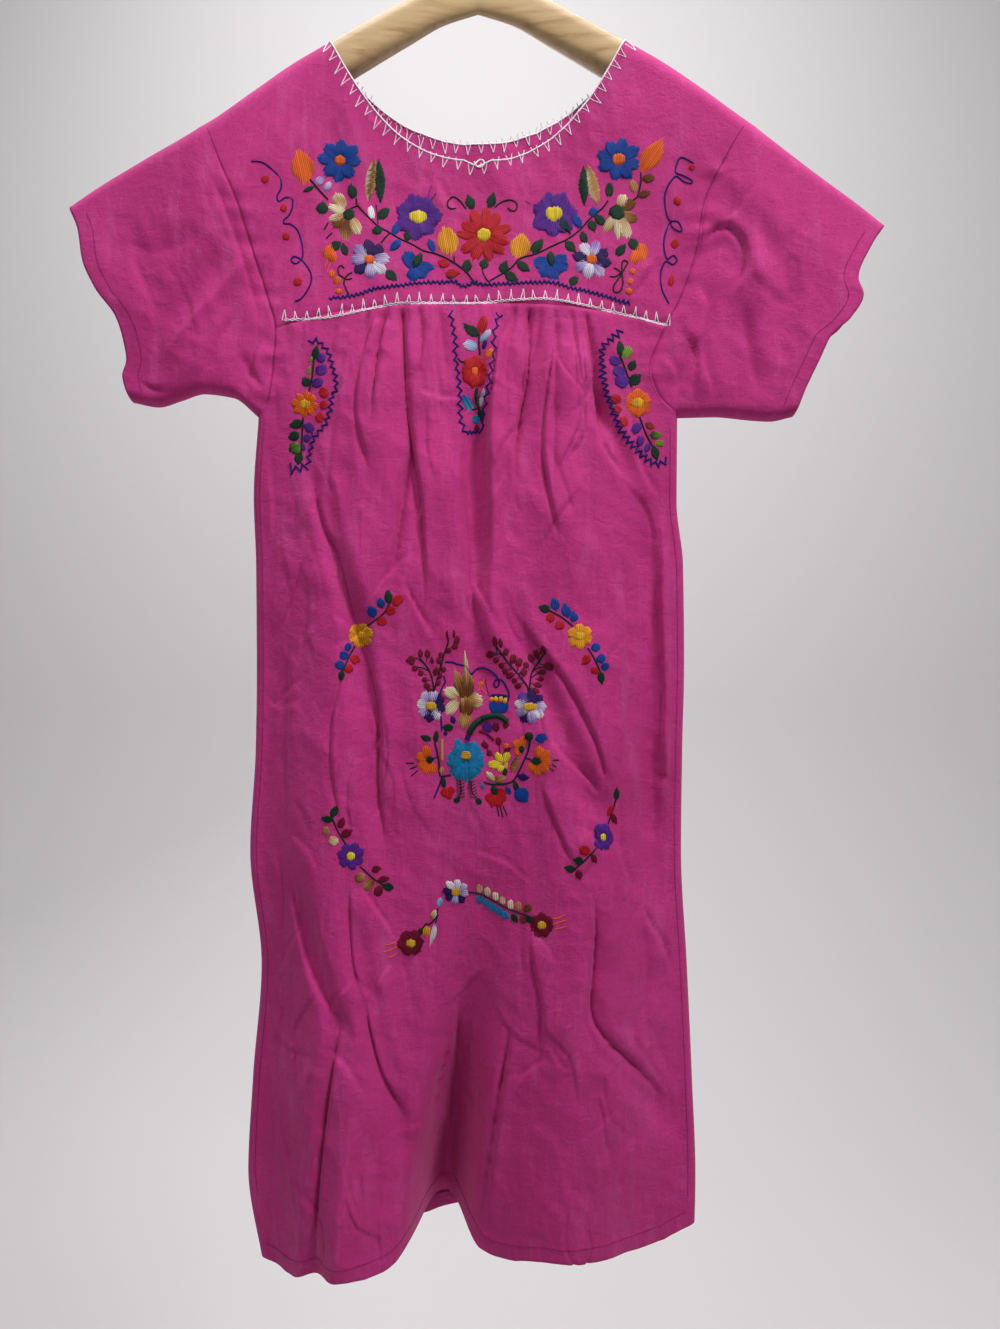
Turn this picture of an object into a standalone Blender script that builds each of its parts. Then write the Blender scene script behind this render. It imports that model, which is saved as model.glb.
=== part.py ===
"""Embroidered cotton dress hanging on a contoured wooden hanger.

Metres, +Z up. The front of the dress faces -Y and +X is the viewer's right. The origin is the
top of the inside of the hook, where the hanger hangs.

The garment is one flat T-shaped outline that is opened up: its front and back walls meet along
the shoulders, the sleeve folds and the side seams, and stand apart between them. Every cut piece
is a patch of those two walls, so neighbouring pieces meet along the same seam lines.
"""

import math

import bmesh
import bpy

# Cloth
WALL = 0.0013
SEAM_GAP = 0.0003

# Neck opening
NECK_HALF_WIDTH = 0.129
FRONT_NECK_LOW = -0.2455
FRONT_NECK_SHAPE = 2.45
NECK_NOTCH_DEPTH = 0.005
NECK_NOTCH_HALF_WIDTH = 0.012
BACK_NECK_LOW = -0.2185
BACK_NECK_SHAPE = 2.3

# Yoke seam, an arch that falls towards the armholes
YOKE_SEAM_MIDDLE = -0.370
YOKE_SEAM_FALL = 0.021
YOKE_SEAM_REACH = 0.163
YOKE_SEAM_SHAPE = 2.26

# How far in from its fold each edge of the opened outline is rounded
SHOULDER_ROUND = 0.017
SLEEVE_TOP_ROUND = 0.012
SIDE_ROUND = 0.008
SHOULDER_SLOPE_COS = 0.83

# The hanger's ends come forward of its middle, and the cloth follows them
CONTOUR_FORWARD = 0.020
CONTOUR_REACH = 0.235
CONTOUR_FADE = (-0.35, -0.75)

# Side slits at the hem, as heights between which the walls part by SLIT_OPEN
SLIT_REACH = (-1.04, -1.19)
SLIT_OPEN = 0.007

# Wooden hanger
HANGER_REACH = 0.222
HANGER_HEIGHT = 0.037
HANGER_END_HEIGHT = 0.026
HANGER_TAPER_START = 0.10
HANGER_CLEARANCE = 0.0008
HANGER_RINGS = 29
HANGER_END_CROWDING = 0.35
WOOD_DEPTH_SHARE = 0.90
WOOD_CROWN_STEPS = 8
WOOD_CHAMFER_HEIGHT = 0.006
WOOD_CHAMFER_SHARE = 0.75

# Hook. It turns out of its stem on the small radius and round the hanging point on the large one.
HOOK_WIRE = 0.0019
HOOK_RADIUS = 0.0235
HOOK_NECK_RADIUS = 0.008
HOOK_STEPS = 24
HOOK_NECK_STEPS = 5
HOOK_TIP_ANGLE = 195
SOCKET_RADIUS = 0.0022
SOCKET_DEPTH = 0.020

# Height of the shoulders and the tops of the sleeves. off is the distance from the middle.
TOP_LINE = [
    {"off": 0.000, "left": -0.0700, "right": -0.0700},
    {"off": 0.030, "left": -0.0795, "right": -0.0795},
    {"off": 0.060, "left": -0.0968, "right": -0.0968},
    {"off": 0.095, "left": -0.1185, "right": -0.1180},
    {"off": 0.130, "left": -0.1418, "right": -0.1405},
    {"off": 0.160, "left": -0.1625, "right": -0.1605},
    {"off": 0.190, "left": -0.1868, "right": -0.1840},
    {"off": 0.232, "left": -0.2205, "right": -0.2192},
    {"off": 0.283, "left": -0.2500, "right": -0.2580},
    {"off": 0.325, "left": -0.2750, "right": -0.2885},
    {"off": 0.348, "left": -0.2905, "right": -0.3065},
]

# Fold along the bottom of the sleeves, from the underarm out
SLEEVE_BOTTOM = {
    "left": [
        {"off": 0.190, "z": -0.4676},
        {"off": 0.212, "z": -0.4510},
        {"off": 0.236, "z": -0.4485},
        {"off": 0.257, "z": -0.4545},
        {"off": 0.276, "z": -0.4598},
        {"off": 0.297, "z": -0.4560},
    ],
    "right": [
        {"off": 0.1735, "z": -0.4670},
        {"off": 0.205, "z": -0.4672},
        {"off": 0.238, "z": -0.4711},
        {"off": 0.253, "z": -0.4719},
        {"off": 0.272, "z": -0.4680},
    ],
}

# Open edge of each sleeve, from its top corner down
CUFF = {
    "left": [
        {"z": -0.2905, "off": 0.3480},
        {"z": -0.314, "off": 0.3380},
        {"z": -0.338, "off": 0.3345},
        {"z": -0.364, "off": 0.3230},
        {"z": -0.387, "off": 0.3065},
        {"z": -0.404, "off": 0.3010},
        {"z": -0.422, "off": 0.2985},
        {"z": -0.436, "off": 0.3020},
        {"z": -0.456, "off": 0.2970},
    ],
    "right": [
        {"z": -0.3065, "off": 0.3480},
        {"z": -0.327, "off": 0.3340},
        {"z": -0.355, "off": 0.3225},
        {"z": -0.369, "off": 0.3270},
        {"z": -0.389, "off": 0.3160},
        {"z": -0.402, "off": 0.3010},
        {"z": -0.423, "off": 0.2910},
        {"z": -0.449, "off": 0.2790},
        {"z": -0.468, "off": 0.2720},
    ],
}

# Armhole seam, from the shoulder down to the underarm
ARMHOLE = {
    "left": [
        {"z": -0.2205, "off": 0.2320},
        {"z": -0.252, "off": 0.2200},
        {"z": -0.291, "off": 0.2032},
        {"z": -0.326, "off": 0.1930},
        {"z": -0.367, "off": 0.1805},
        {"z": -0.392, "off": 0.1740},
        {"z": -0.430, "off": 0.1765},
        {"z": -0.453, "off": 0.1800},
        {"z": -0.4676, "off": 0.1900},
    ],
    "right": [
        {"z": -0.2192, "off": 0.2320},
        {"z": -0.252, "off": 0.2120},
        {"z": -0.291, "off": 0.1940},
        {"z": -0.326, "off": 0.1890},
        {"z": -0.367, "off": 0.1755},
        {"z": -0.392, "off": 0.1625},
        {"z": -0.430, "off": 0.1490},
        {"z": -0.450, "off": 0.1560},
        {"z": -0.4670, "off": 0.1735},
    ],
}

# Levels of the body below the underarm. left and right are the side seams' distances from the
# middle, front and back are how far the middle of each wall stands off its side seams.
BODY = [
    {"z": -0.468, "left": 0.1900, "right": 0.1735, "front": 0.012, "back": 0.008},
    {"z": -0.540, "left": 0.1950, "right": 0.1735, "front": 0.019, "back": 0.011},
    {"z": -0.595, "left": 0.1937, "right": 0.1795, "front": 0.023, "back": 0.012},
    {"z": -0.688, "left": 0.1940, "right": 0.1810, "front": 0.027, "back": 0.014},
    {"z": -0.757, "left": 0.1952, "right": 0.1795, "front": 0.029, "back": 0.016},
    {"z": -0.845, "left": 0.2000, "right": 0.1785, "front": 0.028, "back": 0.019},
    {"z": -0.944, "left": 0.1900, "right": 0.1835, "front": 0.026, "back": 0.024},
    {"z": -1.043, "left": 0.1975, "right": 0.1880, "front": 0.022, "back": 0.030},
    {"z": -1.120, "left": 0.2010, "right": 0.1905, "front": 0.020, "back": 0.036},
    {"z": -1.200, "left": 0.1880, "right": 0.1880, "front": 0.018, "back": 0.042},
]
BULGE_REACH = 0.085
STAND_OFF_START = -0.26

# Folds fade out within these distances of the folded edges: from the sides, and below the shoulders
SIDE_FADE = 0.022
SHOULDER_FADE = (0.02, 0.06)

# Half of the depth between the walls beside their folds, at each distance from the middle
HALF_DEPTH = [
    {"off": 0.000, "shoulder": 0.0085, "body": 0.0120},
    {"off": 0.130, "shoulder": 0.0165, "body": 0.0120},
    {"off": 0.222, "shoulder": 0.0195, "body": 0.0110},
    {"off": 0.300, "shoulder": 0.0150, "body": 0.0110},
    {"off": 0.360, "shoulder": 0.0120, "body": 0.0105},
]
SHOULDER_DEPTH_ENDS = (0.050, 0.190)

# Hem height across the front and the back
HEM = [
    {"x": -0.190, "front": -1.1970, "back": -1.1985},
    {"x": -0.165, "front": -1.2010, "back": -1.1980},
    {"x": -0.130, "front": -1.1890, "back": -1.1960},
    {"x": -0.105, "front": -1.1840, "back": -1.1940},
    {"x": -0.080, "front": -1.1850, "back": -1.1930},
    {"x": -0.055, "front": -1.1740, "back": -1.1900},
    {"x": -0.040, "front": -1.1640, "back": -1.1890},
    {"x": -0.018, "front": -1.1660, "back": -1.1880},
    {"x": 0.015, "front": -1.1800, "back": -1.1880},
    {"x": 0.060, "front": -1.1720, "back": -1.1870},
    {"x": 0.100, "front": -1.1740, "back": -1.1870},
    {"x": 0.150, "front": -1.1790, "back": -1.1840},
    {"x": 0.1885, "front": -1.1680, "back": -1.1760},
]

# Pleats of the gathers, each a narrow tuck that starts at the yoke seam. x is its place on the
# seam and drift how far it wanders sideways on its way down.
FRONT_PLEATS = [
    {"x": -0.0925, "drift": -0.009, "length": 0.045, "width": 0.0036, "depth": 0.0045},
    {"x": -0.0790, "drift": -0.012, "length": 0.110, "width": 0.0036, "depth": 0.0055},
    {"x": -0.0655, "drift": 0.020, "length": 0.260, "width": 0.0040, "depth": 0.0090},
    {"x": -0.0495, "drift": -0.002, "length": 0.060, "width": 0.0036, "depth": 0.0040},
    {"x": -0.0340, "drift": 0.009, "length": 0.075, "width": 0.0040, "depth": 0.0035},
    {"x": 0.0330, "drift": -0.016, "length": 0.100, "width": 0.0040, "depth": 0.0035},
    {"x": 0.0455, "drift": -0.015, "length": 0.165, "width": 0.0042, "depth": 0.0085},
    {"x": 0.0560, "drift": -0.011, "length": 0.070, "width": 0.0036, "depth": 0.0040},
    {"x": 0.0675, "drift": -0.004, "length": 0.190, "width": 0.0040, "depth": 0.0060},
    {"x": 0.0810, "drift": 0.007, "length": 0.140, "width": 0.0038, "depth": 0.0050},
    {"x": 0.0925, "drift": 0.022, "length": 0.150, "width": 0.0042, "depth": 0.0070},
]
BACK_PLEATS = [
    {"x": -0.0930, "drift": -0.012, "length": 0.120, "width": 0.0044, "depth": 0.0050},
    {"x": -0.0790, "drift": -0.006, "length": 0.070, "width": 0.0044, "depth": 0.0042},
    {"x": -0.0650, "drift": -0.010, "length": 0.220, "width": 0.0046, "depth": 0.0075},
    {"x": -0.0500, "drift": 0.003, "length": 0.090, "width": 0.0044, "depth": 0.0045},
    {"x": -0.0360, "drift": 0.004, "length": 0.140, "width": 0.0044, "depth": 0.0050},
    {"x": 0.0350, "drift": -0.004, "length": 0.110, "width": 0.0044, "depth": 0.0045},
    {"x": 0.0490, "drift": 0.006, "length": 0.240, "width": 0.0046, "depth": 0.0075},
    {"x": 0.0640, "drift": 0.004, "length": 0.080, "width": 0.0044, "depth": 0.0042},
    {"x": 0.0780, "drift": 0.011, "length": 0.150, "width": 0.0044, "depth": 0.0055},
    {"x": 0.0920, "drift": 0.013, "length": 0.100, "width": 0.0044, "depth": 0.0048},
]
PLEAT_START = 0.002
PLEAT_RISE = 0.016

# Long folds and creases. Each runs straight from its start to its end, is as wide as width (the
# distance at which it has faded) and stands out by rise, or sinks in where rise is negative.
FRONT_FOLDS = [
    {"name": "left lobe", "start": (-0.130, -0.660), "end": (-0.112, -1.230),
     "width": (0.055, 0.075), "rise": (0.004, 0.036)},
    {"name": "right lobe", "start": (0.090, -0.640), "end": (0.072, -1.230),
     "width": (0.060, 0.085), "rise": (0.006, 0.030)},
    {"name": "centre valley", "start": (0.004, -0.850), "end": (-0.037, -1.215),
     "width": (0.034, 0.036), "rise": (-0.004, -0.076)},
    {"name": "dip under the centre panel", "start": (-0.001, -0.470), "end": (-0.004, -0.700),
     "width": (0.016, 0.022), "rise": (-0.012, -0.004)},
    {"name": "roll beside the centre panel", "start": (0.013, -0.400), "end": (0.012, -0.660),
     "width": (0.012, 0.016), "rise": (0.005, 0.005)},
    {"name": "left roll of the gathers", "start": (-0.075, -0.420), "end": (-0.100, -0.640),
     "width": (0.034, 0.036), "rise": (0.007, 0.006)},
    {"name": "right roll of the gathers", "start": (0.066, -0.420), "end": (0.078, -0.620),
     "width": (0.034, 0.036), "rise": (0.006, 0.005)},
    {"name": "left pleat's branch", "start": (-0.058, -0.505), "end": (-0.074, -0.625),
     "width": (0.008, 0.010), "rise": (-0.005, -0.002)},
    {"name": "left side fold, top", "start": (-0.140, -0.510), "end": (-0.104, -0.640),
     "width": (0.016, 0.018), "rise": (-0.005, -0.007)},
    {"name": "left side fold, bottom", "start": (-0.104, -0.630), "end": (-0.080, -0.820),
     "width": (0.018, 0.016), "rise": (-0.007, -0.004)},
    {"name": "right arch fold", "start": (0.101, -0.455), "end": (0.131, -0.525),
     "width": (0.012, 0.014), "rise": (-0.007, -0.004)},
    {"name": "right side trough", "start": (0.142, -0.560), "end": (0.146, -0.830),
     "width": (0.022, 0.022), "rise": (-0.008, -0.006)},
    {"name": "right side flap", "start": (0.160, -0.565), "end": (0.161, -0.820),
     "width": (0.010, 0.010), "rise": (0.005, 0.006)},
    {"name": "middle to right crease", "start": (0.030, -0.640), "end": (0.104, -0.815),
     "width": (0.016, 0.018), "rise": (-0.006, -0.006)},
    {"name": "left hem crease, top", "start": (-0.150, -0.880), "end": (-0.112, -0.990),
     "width": (0.014, 0.016), "rise": (-0.005, -0.006)},
    {"name": "left hem crease, bottom", "start": (-0.112, -0.975), "end": (-0.136, -1.210),
     "width": (0.016, 0.020), "rise": (-0.007, -0.015)},
    {"name": "left lobe's inner crease", "start": (-0.106, -0.880), "end": (-0.066, -1.075),
     "width": (0.014, 0.016), "rise": (-0.005, -0.006)},
    {"name": "right lobe's crease, top", "start": (0.098, -0.880), "end": (0.094, -0.985),
     "width": (0.015, 0.016), "rise": (-0.005, -0.006)},
    {"name": "right lobe's crease, bottom", "start": (0.100, -0.990), "end": (0.168, -1.080),
     "width": (0.016, 0.018), "rise": (-0.006, -0.005)},
    {"name": "left sleeve crease", "start": (-0.215, -0.330), "end": (-0.262, -0.400),
     "width": (0.016, 0.018), "rise": (-0.004, -0.004)},
    {"name": "right sleeve dent", "start": (0.212, -0.290), "end": (0.258, -0.345),
     "width": (0.018, 0.022), "rise": (-0.006, -0.007)},
    {"name": "right sleeve dent, lower", "start": (0.258, -0.345), "end": (0.262, -0.420),
     "width": (0.020, 0.020), "rise": (-0.006, -0.004)},
]
BACK_FOLDS = [
    {"name": "left back lobe", "start": (-0.100, -0.640), "end": (-0.115, -1.230),
     "width": (0.050, 0.055), "rise": (0.003, 0.014)},
    {"name": "middle back lobe", "start": (0.010, -0.620), "end": (0.004, -1.230),
     "width": (0.045, 0.055), "rise": (0.004, 0.010)},
    {"name": "right back lobe", "start": (0.105, -0.700), "end": (0.120, -1.230),
     "width": (0.040, 0.050), "rise": (0.003, 0.014)},
    {"name": "left back trough", "start": (-0.050, -0.600), "end": (-0.058, -1.230),
     "width": (0.022, 0.026), "rise": (-0.005, -0.010)},
    {"name": "right back trough", "start": (0.060, -0.560), "end": (0.064, -1.230),
     "width": (0.022, 0.026), "rise": (-0.005, -0.010)},
    {"name": "left back roll of the gathers", "start": (-0.070, -0.420), "end": (-0.085, -0.620),
     "width": (0.034, 0.036), "rise": (0.005, 0.004)},
    {"name": "right back roll of the gathers", "start": (0.070, -0.420), "end": (0.082, -0.620),
     "width": (0.034, 0.036), "rise": (0.005, 0.004)},
]
FOLD_END_FADE = 0.035

# Columns of the two skirt panels, in zones across the panel. share is where a zone ends.
FRONT_COLUMNS = [
    {"zone": "left side", "share_top": 0.195, "share_hem": 0.160, "columns": 7},
    {"zone": "left gathers", "share_top": 0.425, "share_hem": 0.330, "columns": 21},
    {"zone": "centre", "share_top": 0.590, "share_hem": 0.560, "columns": 11},
    {"zone": "right gathers", "share_top": 0.825, "share_hem": 0.790, "columns": 20},
    {"zone": "right side", "share_top": 0.979, "share_hem": 0.979, "columns": 7},
]
BACK_COLUMNS = [
    {"zone": "left side", "share_top": 0.195, "share_hem": 0.190, "columns": 4},
    {"zone": "left gathers", "share_top": 0.435, "share_hem": 0.400, "columns": 15},
    {"zone": "centre", "share_top": 0.590, "share_hem": 0.600, "columns": 5},
    {"zone": "right gathers", "share_top": 0.825, "share_hem": 0.800, "columns": 15},
    {"zone": "right side", "share_top": 0.979, "share_hem": 0.979, "columns": 4},
]
SIDE_STEPS = (0.0, 0.0022, 0.0085, 0.021)

# Shares of a skirt panel's height over which its rows leave the seam's curve and take the hem's
SEAM_CURVE_FADE = (0.0, 0.45)
HEM_CURVE_RISE = (0.8, 1.0)

# Rows of each piece as shares of its height. The first shares lie on the rounded folds.
YOKE_ROWS = (0.0, 0.010, 0.042, 0.105, 0.28, 0.46, 0.64, 0.82, 1.0)
ARMHOLE_ROWS = (0.0, 0.07, 0.24, 0.48, 0.72, 0.92, 0.98, 1.0)
SKIRT_ROWS = (0.025, 0.07, 0.13, 0.20, 0.275, 0.35, 0.43, 0.51, 0.59, 0.67, 0.75, 0.83, 0.915, 1.0)
YOKE_SHOULDER_COLUMNS = 6
YOKE_NECK_COLUMNS = 22
SLEEVE_ROWS = (0.0, 0.12, 0.26, 0.40, 0.54, 0.68, 0.82, 0.93, 1.0)

FRONT, BACK = -1, 1
SIDES = {"left": -1, "right": 1}
TINY = 1e-9
EDGE_REACH = 0.0005
UNDERARM_REACH = 0.02


def reading(rows, along, column, at):
    """A smooth reading of one column of a table, without overshoot between its rows."""
    ordered = sorted(rows, key=lambda row: row[along])
    places = [row[along] for row in ordered]
    values = [row[column] for row in ordered]
    at = min(max(at, places[0]), places[-1])
    last = len(places) - 2
    index = next((i for i in range(last + 1) if at <= places[i + 1]), last)
    slopes = [(values[i + 1] - values[i]) / (places[i + 1] - places[i]) for i in range(last + 1)]

    def tangent(i):
        if i == 0:
            return slopes[0]
        if i == last + 1:
            return slopes[-1]
        before, after = slopes[i - 1], slopes[i]
        if before * after <= 0:
            return 0.0
        return 2 * before * after / (before + after)

    span = places[index + 1] - places[index]
    share = (at - places[index]) / span
    left, right = values[index], values[index + 1]
    return (
        left * (1 + 2 * share) * (1 - share) ** 2
        + right * share**2 * (3 - 2 * share)
        + tangent(index) * span * share * (1 - share) ** 2
        - tangent(index + 1) * span * share**2 * (1 - share)
    )


def ease(value, start, end):
    """A smooth step from 0 at start to 1 at end."""
    share = min(max((value - start) / (end - start), 0.0), 1.0)
    return share * share * (3 - 2 * share)


def side_of(x):
    return "left" if x < 0 else "right"


def top_line(x):
    return reading(TOP_LINE, "off", side_of(x), abs(x))


def underarm(side):
    row = SLEEVE_BOTTOM[side][0]
    return row["off"], row["z"]


def body_edge(side, z):
    reach, level = underarm(side)
    return reach if z > level else reading(BODY, "z", side, z)


def sleeve_bottom(side, off):
    reach, level = underarm(side)
    return level if off < reach else reading(SLEEVE_BOTTOM[side], "off", "z", off)


def top_rounding(x):
    """How far below the shoulder line the walls are rounded."""
    past_hanger = ease(abs(x), HANGER_REACH, TOP_LINE[-1]["off"])
    return SHOULDER_ROUND + (SLEEVE_TOP_ROUND - SHOULDER_ROUND) * past_hanger


def top_distance(x, z):
    """How far a place lies in from the shoulder line, as a share of its rounding."""
    return max(top_line(x) - z, 0.0) * SHOULDER_SLOPE_COS / top_rounding(x)


def side_parts(x, z):
    """How far a place lies in from the side seam, and up from the sleeve's lower fold."""
    side = side_of(x)
    inward = max(body_edge(side, z) - abs(x), 0.0)
    upward = max(z - sleeve_bottom(side, abs(x)), 0.0)
    return inward, upward


def side_distance(x, z):
    return math.hypot(*side_parts(x, z))


def rounded(share):
    """Height of a quarter round at a share of its reach."""
    share = min(share, 1.0)
    return math.sqrt(max(share * (2 - share), 0.0))


def pleat_relief(pleats, x, z):
    """Tucks of the gathers, as a depth below the wall."""
    below = yoke_seam(x) - z
    if below <= PLEAT_START:
        return 0.0
    depth = 0.0
    for pleat in pleats:
        if below > pleat["length"]:
            continue
        run = below / pleat["length"]
        middle = pleat["x"] + pleat["drift"] * run
        width = pleat["width"] * (1 + 0.9 * run)
        across = (x - middle) / width
        strength = ease(below, PLEAT_START, PLEAT_START + PLEAT_RISE) * (1 - ease(run, 0.45, 1.0))
        depth += pleat["depth"] * strength * math.exp(-across * across)
    return depth


def fold_relief(folds, x, z):
    """Long folds, as a height above the wall."""
    height = 0.0
    for fold in folds:
        (start_x, start_z), (end_x, end_z) = fold["start"], fold["end"]
        run_x, run_z = end_x - start_x, end_z - start_z
        length = math.hypot(run_x, run_z)
        along = ((x - start_x) * run_x + (z - start_z) * run_z) / length
        across = abs((x - start_x) * run_z - (z - start_z) * run_x) / length
        share = min(max(along / length, 0.0), 1.0)
        width = fold["width"][0] + (fold["width"][1] - fold["width"][0]) * share
        if across >= width or not -FOLD_END_FADE < along < length + FOLD_END_FADE:
            continue
        ends = ease(along, -FOLD_END_FADE, FOLD_END_FADE)
        ends *= 1 - ease(along, length - FOLD_END_FADE, length + FOLD_END_FADE)
        rise = fold["rise"][0] + (fold["rise"][1] - fold["rise"][0]) * ease(share, 0.0, 1.0)
        height += rise * ends * math.cos(0.5 * math.pi * across / width) ** 2
    return height


def stand_off(x, z, face):
    """The smooth part of how far a wall stands from the middle sheet, apart from its folds."""
    column = "front" if face == FRONT else "back"
    top_of_body = BODY[0]["z"]
    if z < top_of_body:
        bulge = reading(BODY, "z", column, z)
    else:
        grown = ease(z, STAND_OFF_START, top_of_body)
        bulge = BODY[0][column] * grown
    reach = body_edge(side_of(x), min(z, top_of_body)) - abs(x)
    return bulge * ease(reach, 0.0, BULGE_REACH)


def relief(x, z, face):
    """Folds and bulge of a wall, which fade out at the folded edges of the outline."""
    edge = side_distance(x, z)
    below_top = (top_line(x) - z) * SHOULDER_SLOPE_COS
    fade = ease(edge, 0.0, SIDE_FADE) * ease(below_top, *SHOULDER_FADE)
    folds, pleats = (FRONT_FOLDS, FRONT_PLEATS) if face == FRONT else (BACK_FOLDS, BACK_PLEATS)
    height = stand_off(x, z, face) + fold_relief(folds, x, z) - pleat_relief(pleats, x, z)
    return height * fade


def half_depth(x, z):
    off = abs(x)
    shoulder = reading(HALF_DEPTH, "off", "shoulder", off)
    body = reading(HALF_DEPTH, "off", "body", off)
    return shoulder + (body - shoulder) * ease(top_line(x) - z, *SHOULDER_DEPTH_ENDS)


def middle_sheet(x, z):
    """The sheet halfway between the walls, forward at the hanger's ends."""
    forward = CONTOUR_FORWARD * min(abs(x) / CONTOUR_REACH, 1.0) ** 2
    return -forward * (1 - ease(z, *CONTOUR_FADE))


def slit(z):
    """How far each wall stands off at the side slits."""
    return SLIT_OPEN * ease(z, *SLIT_REACH)


def cloth_point(x, z, face):
    top, edge = top_distance(x, z), side_distance(x, z) / SIDE_ROUND
    opened = half_depth(x, z) * rounded(top) * rounded(edge)
    opened += slit(z) * (1 - rounded(edge))
    return x, middle_sheet(x, z) + face * (opened + relief(x, z, face)), z


def gradient(value, x, z, step=0.0002):
    return (
        (value(x + step, z) - value(x - step, z)) / (2 * step),
        (value(x, z + step) - value(x, z - step)) / (2 * step),
    )


def outward(x, z, face):
    """The wall's outward direction, also right on a folded edge where the wall stands on edge."""
    side = SIDES[side_of(x)]
    top, edge = top_distance(x, z), side_distance(x, z) / SIDE_ROUND
    top_round, edge_round = rounded(top), rounded(edge)
    both = top_round * edge_round
    smooth = gradient(lambda a, b: middle_sheet(a, b) + face * relief(a, b, face), x, z)
    depth = half_depth(x, z)
    pull_x = pull_z = 0.0
    if top < 1:
        slope = gradient(lambda a, b: top_line(a) - b, x, z)
        turn = depth * edge_round**2 * (1 - top) * SHOULDER_SLOPE_COS / top_rounding(x)
        pull_x += turn * slope[0]
        pull_z += turn * slope[1]
    if edge < 1:
        inward, upward = side_parts(x, z)
        if inward + upward < TINY:
            reach, level = underarm(side_of(x))
            on_sleeve = abs(x) > reach + UNDERARM_REACH
            inward = 1.0 if z <= level + EDGE_REACH and not on_sleeve else 0.0
            upward = 1.0 if z >= level - EDGE_REACH or on_sleeve else 0.0
        size = math.hypot(inward, upward)
        slope = (-side * inward / size, upward / size)
        turn = depth * top_round**2 * (1 - edge) / SIDE_ROUND
        pull_x += turn * slope[0]
        pull_z += turn * slope[1]
    normal = (
        -face * both * smooth[0] - pull_x,
        face * both,
        -face * both * smooth[1] - pull_z,
    )
    size = math.sqrt(sum(part * part for part in normal)) or 1.0
    return tuple(part / size for part in normal)


def front_neck(x):
    end = top_line(math.copysign(NECK_HALF_WIDTH, x))
    share = min(abs(x) / NECK_HALF_WIDTH, 1.0)
    notch = NECK_NOTCH_DEPTH * max(1 - abs(x) / NECK_NOTCH_HALF_WIDTH, 0.0)
    return FRONT_NECK_LOW + (end - FRONT_NECK_LOW) * share**FRONT_NECK_SHAPE - notch


def back_neck(x):
    end = top_line(math.copysign(NECK_HALF_WIDTH, x))
    share = min(abs(x) / NECK_HALF_WIDTH, 1.0)
    return BACK_NECK_LOW + (end - BACK_NECK_LOW) * share**BACK_NECK_SHAPE


def yoke_seam(x):
    return YOKE_SEAM_MIDDLE - YOKE_SEAM_FALL * (abs(x) / YOKE_SEAM_REACH) ** YOKE_SEAM_SHAPE


def hem(x, face):
    return reading(HEM, "x", "front" if face == FRONT else "back", x)


def armhole_place(side, z):
    return SIDES[side] * reading(ARMHOLE[side], "z", "off", z)


def seam_end(side):
    """Where the yoke seam meets the armhole."""
    z = YOKE_SEAM_MIDDLE - YOKE_SEAM_FALL
    for _ in range(12):
        z = yoke_seam(armhole_place(side, z))
    return z


def yoke_side(side, share):
    top = ARMHOLE[side][0]["z"]
    z = top + (seam_end(side) - top) * share
    return armhole_place(side, z), z


def lower_armhole(side, share):
    z = seam_end(side) + (underarm(side)[1] - seam_end(side)) * share
    return armhole_place(side, z), z


def side_seam(side, share, face):
    level = underarm(side)[1]
    bottom = hem(SIDES[side] * BODY[-1][side], face)
    z = level + (bottom - level) * share
    return SIDES[side] * body_edge(side, z - TINY), z


def between(first, second, share):
    return tuple(a + (b - a) * share for a, b in zip(first, second))


def coons(top, bottom, left, right, across, down):
    """A place inside four boundary curves, from its shares across and down."""
    corners = between(
        between(top(0), top(1), across), between(bottom(0), bottom(1), across), down
    )
    sides = between(left(down), right(down), across)
    ends = between(top(across), bottom(across), down)
    return tuple(a + b - c for a, b, c in zip(sides, ends, corners))


def crossed(a, b):
    return (
        a[1] * b[2] - a[2] * b[1],
        a[2] * b[0] - a[0] * b[2],
        a[0] * b[1] - a[1] * b[0],
    )


def square_step(start, end, normal, place, inner):
    """The unit step square to one stretch of an edge and along the cloth, towards its inside."""
    along = tuple(b - a for a, b in zip(start, end))
    square = crossed(along, normal)
    size = math.sqrt(sum(part * part for part in square)) or 1.0
    way = sum(part * (b - a) for part, a, b in zip(square, place, inner))
    return tuple(part * math.copysign(1.0, way) / size for part in square)


def drawn_in(place, before, after, normal, inner):
    """A shift of half of the seam gap away from the stretches of edge that meet at a point."""
    steps = [
        square_step(start, end, normal, place, inner)
        for start, end in ((before, place), (place, after))
        if math.dist(start, end) > TINY
    ]
    agreement = sum(a * b for a, b in zip(steps[0], steps[-1]))
    share = 1.0 if len(steps) == 1 else 1 / max(1 + agreement, 0.5)
    total = [sum(parts) for parts in zip(*steps)]
    return tuple(0.5 * SEAM_GAP * part * share for part in total)


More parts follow.
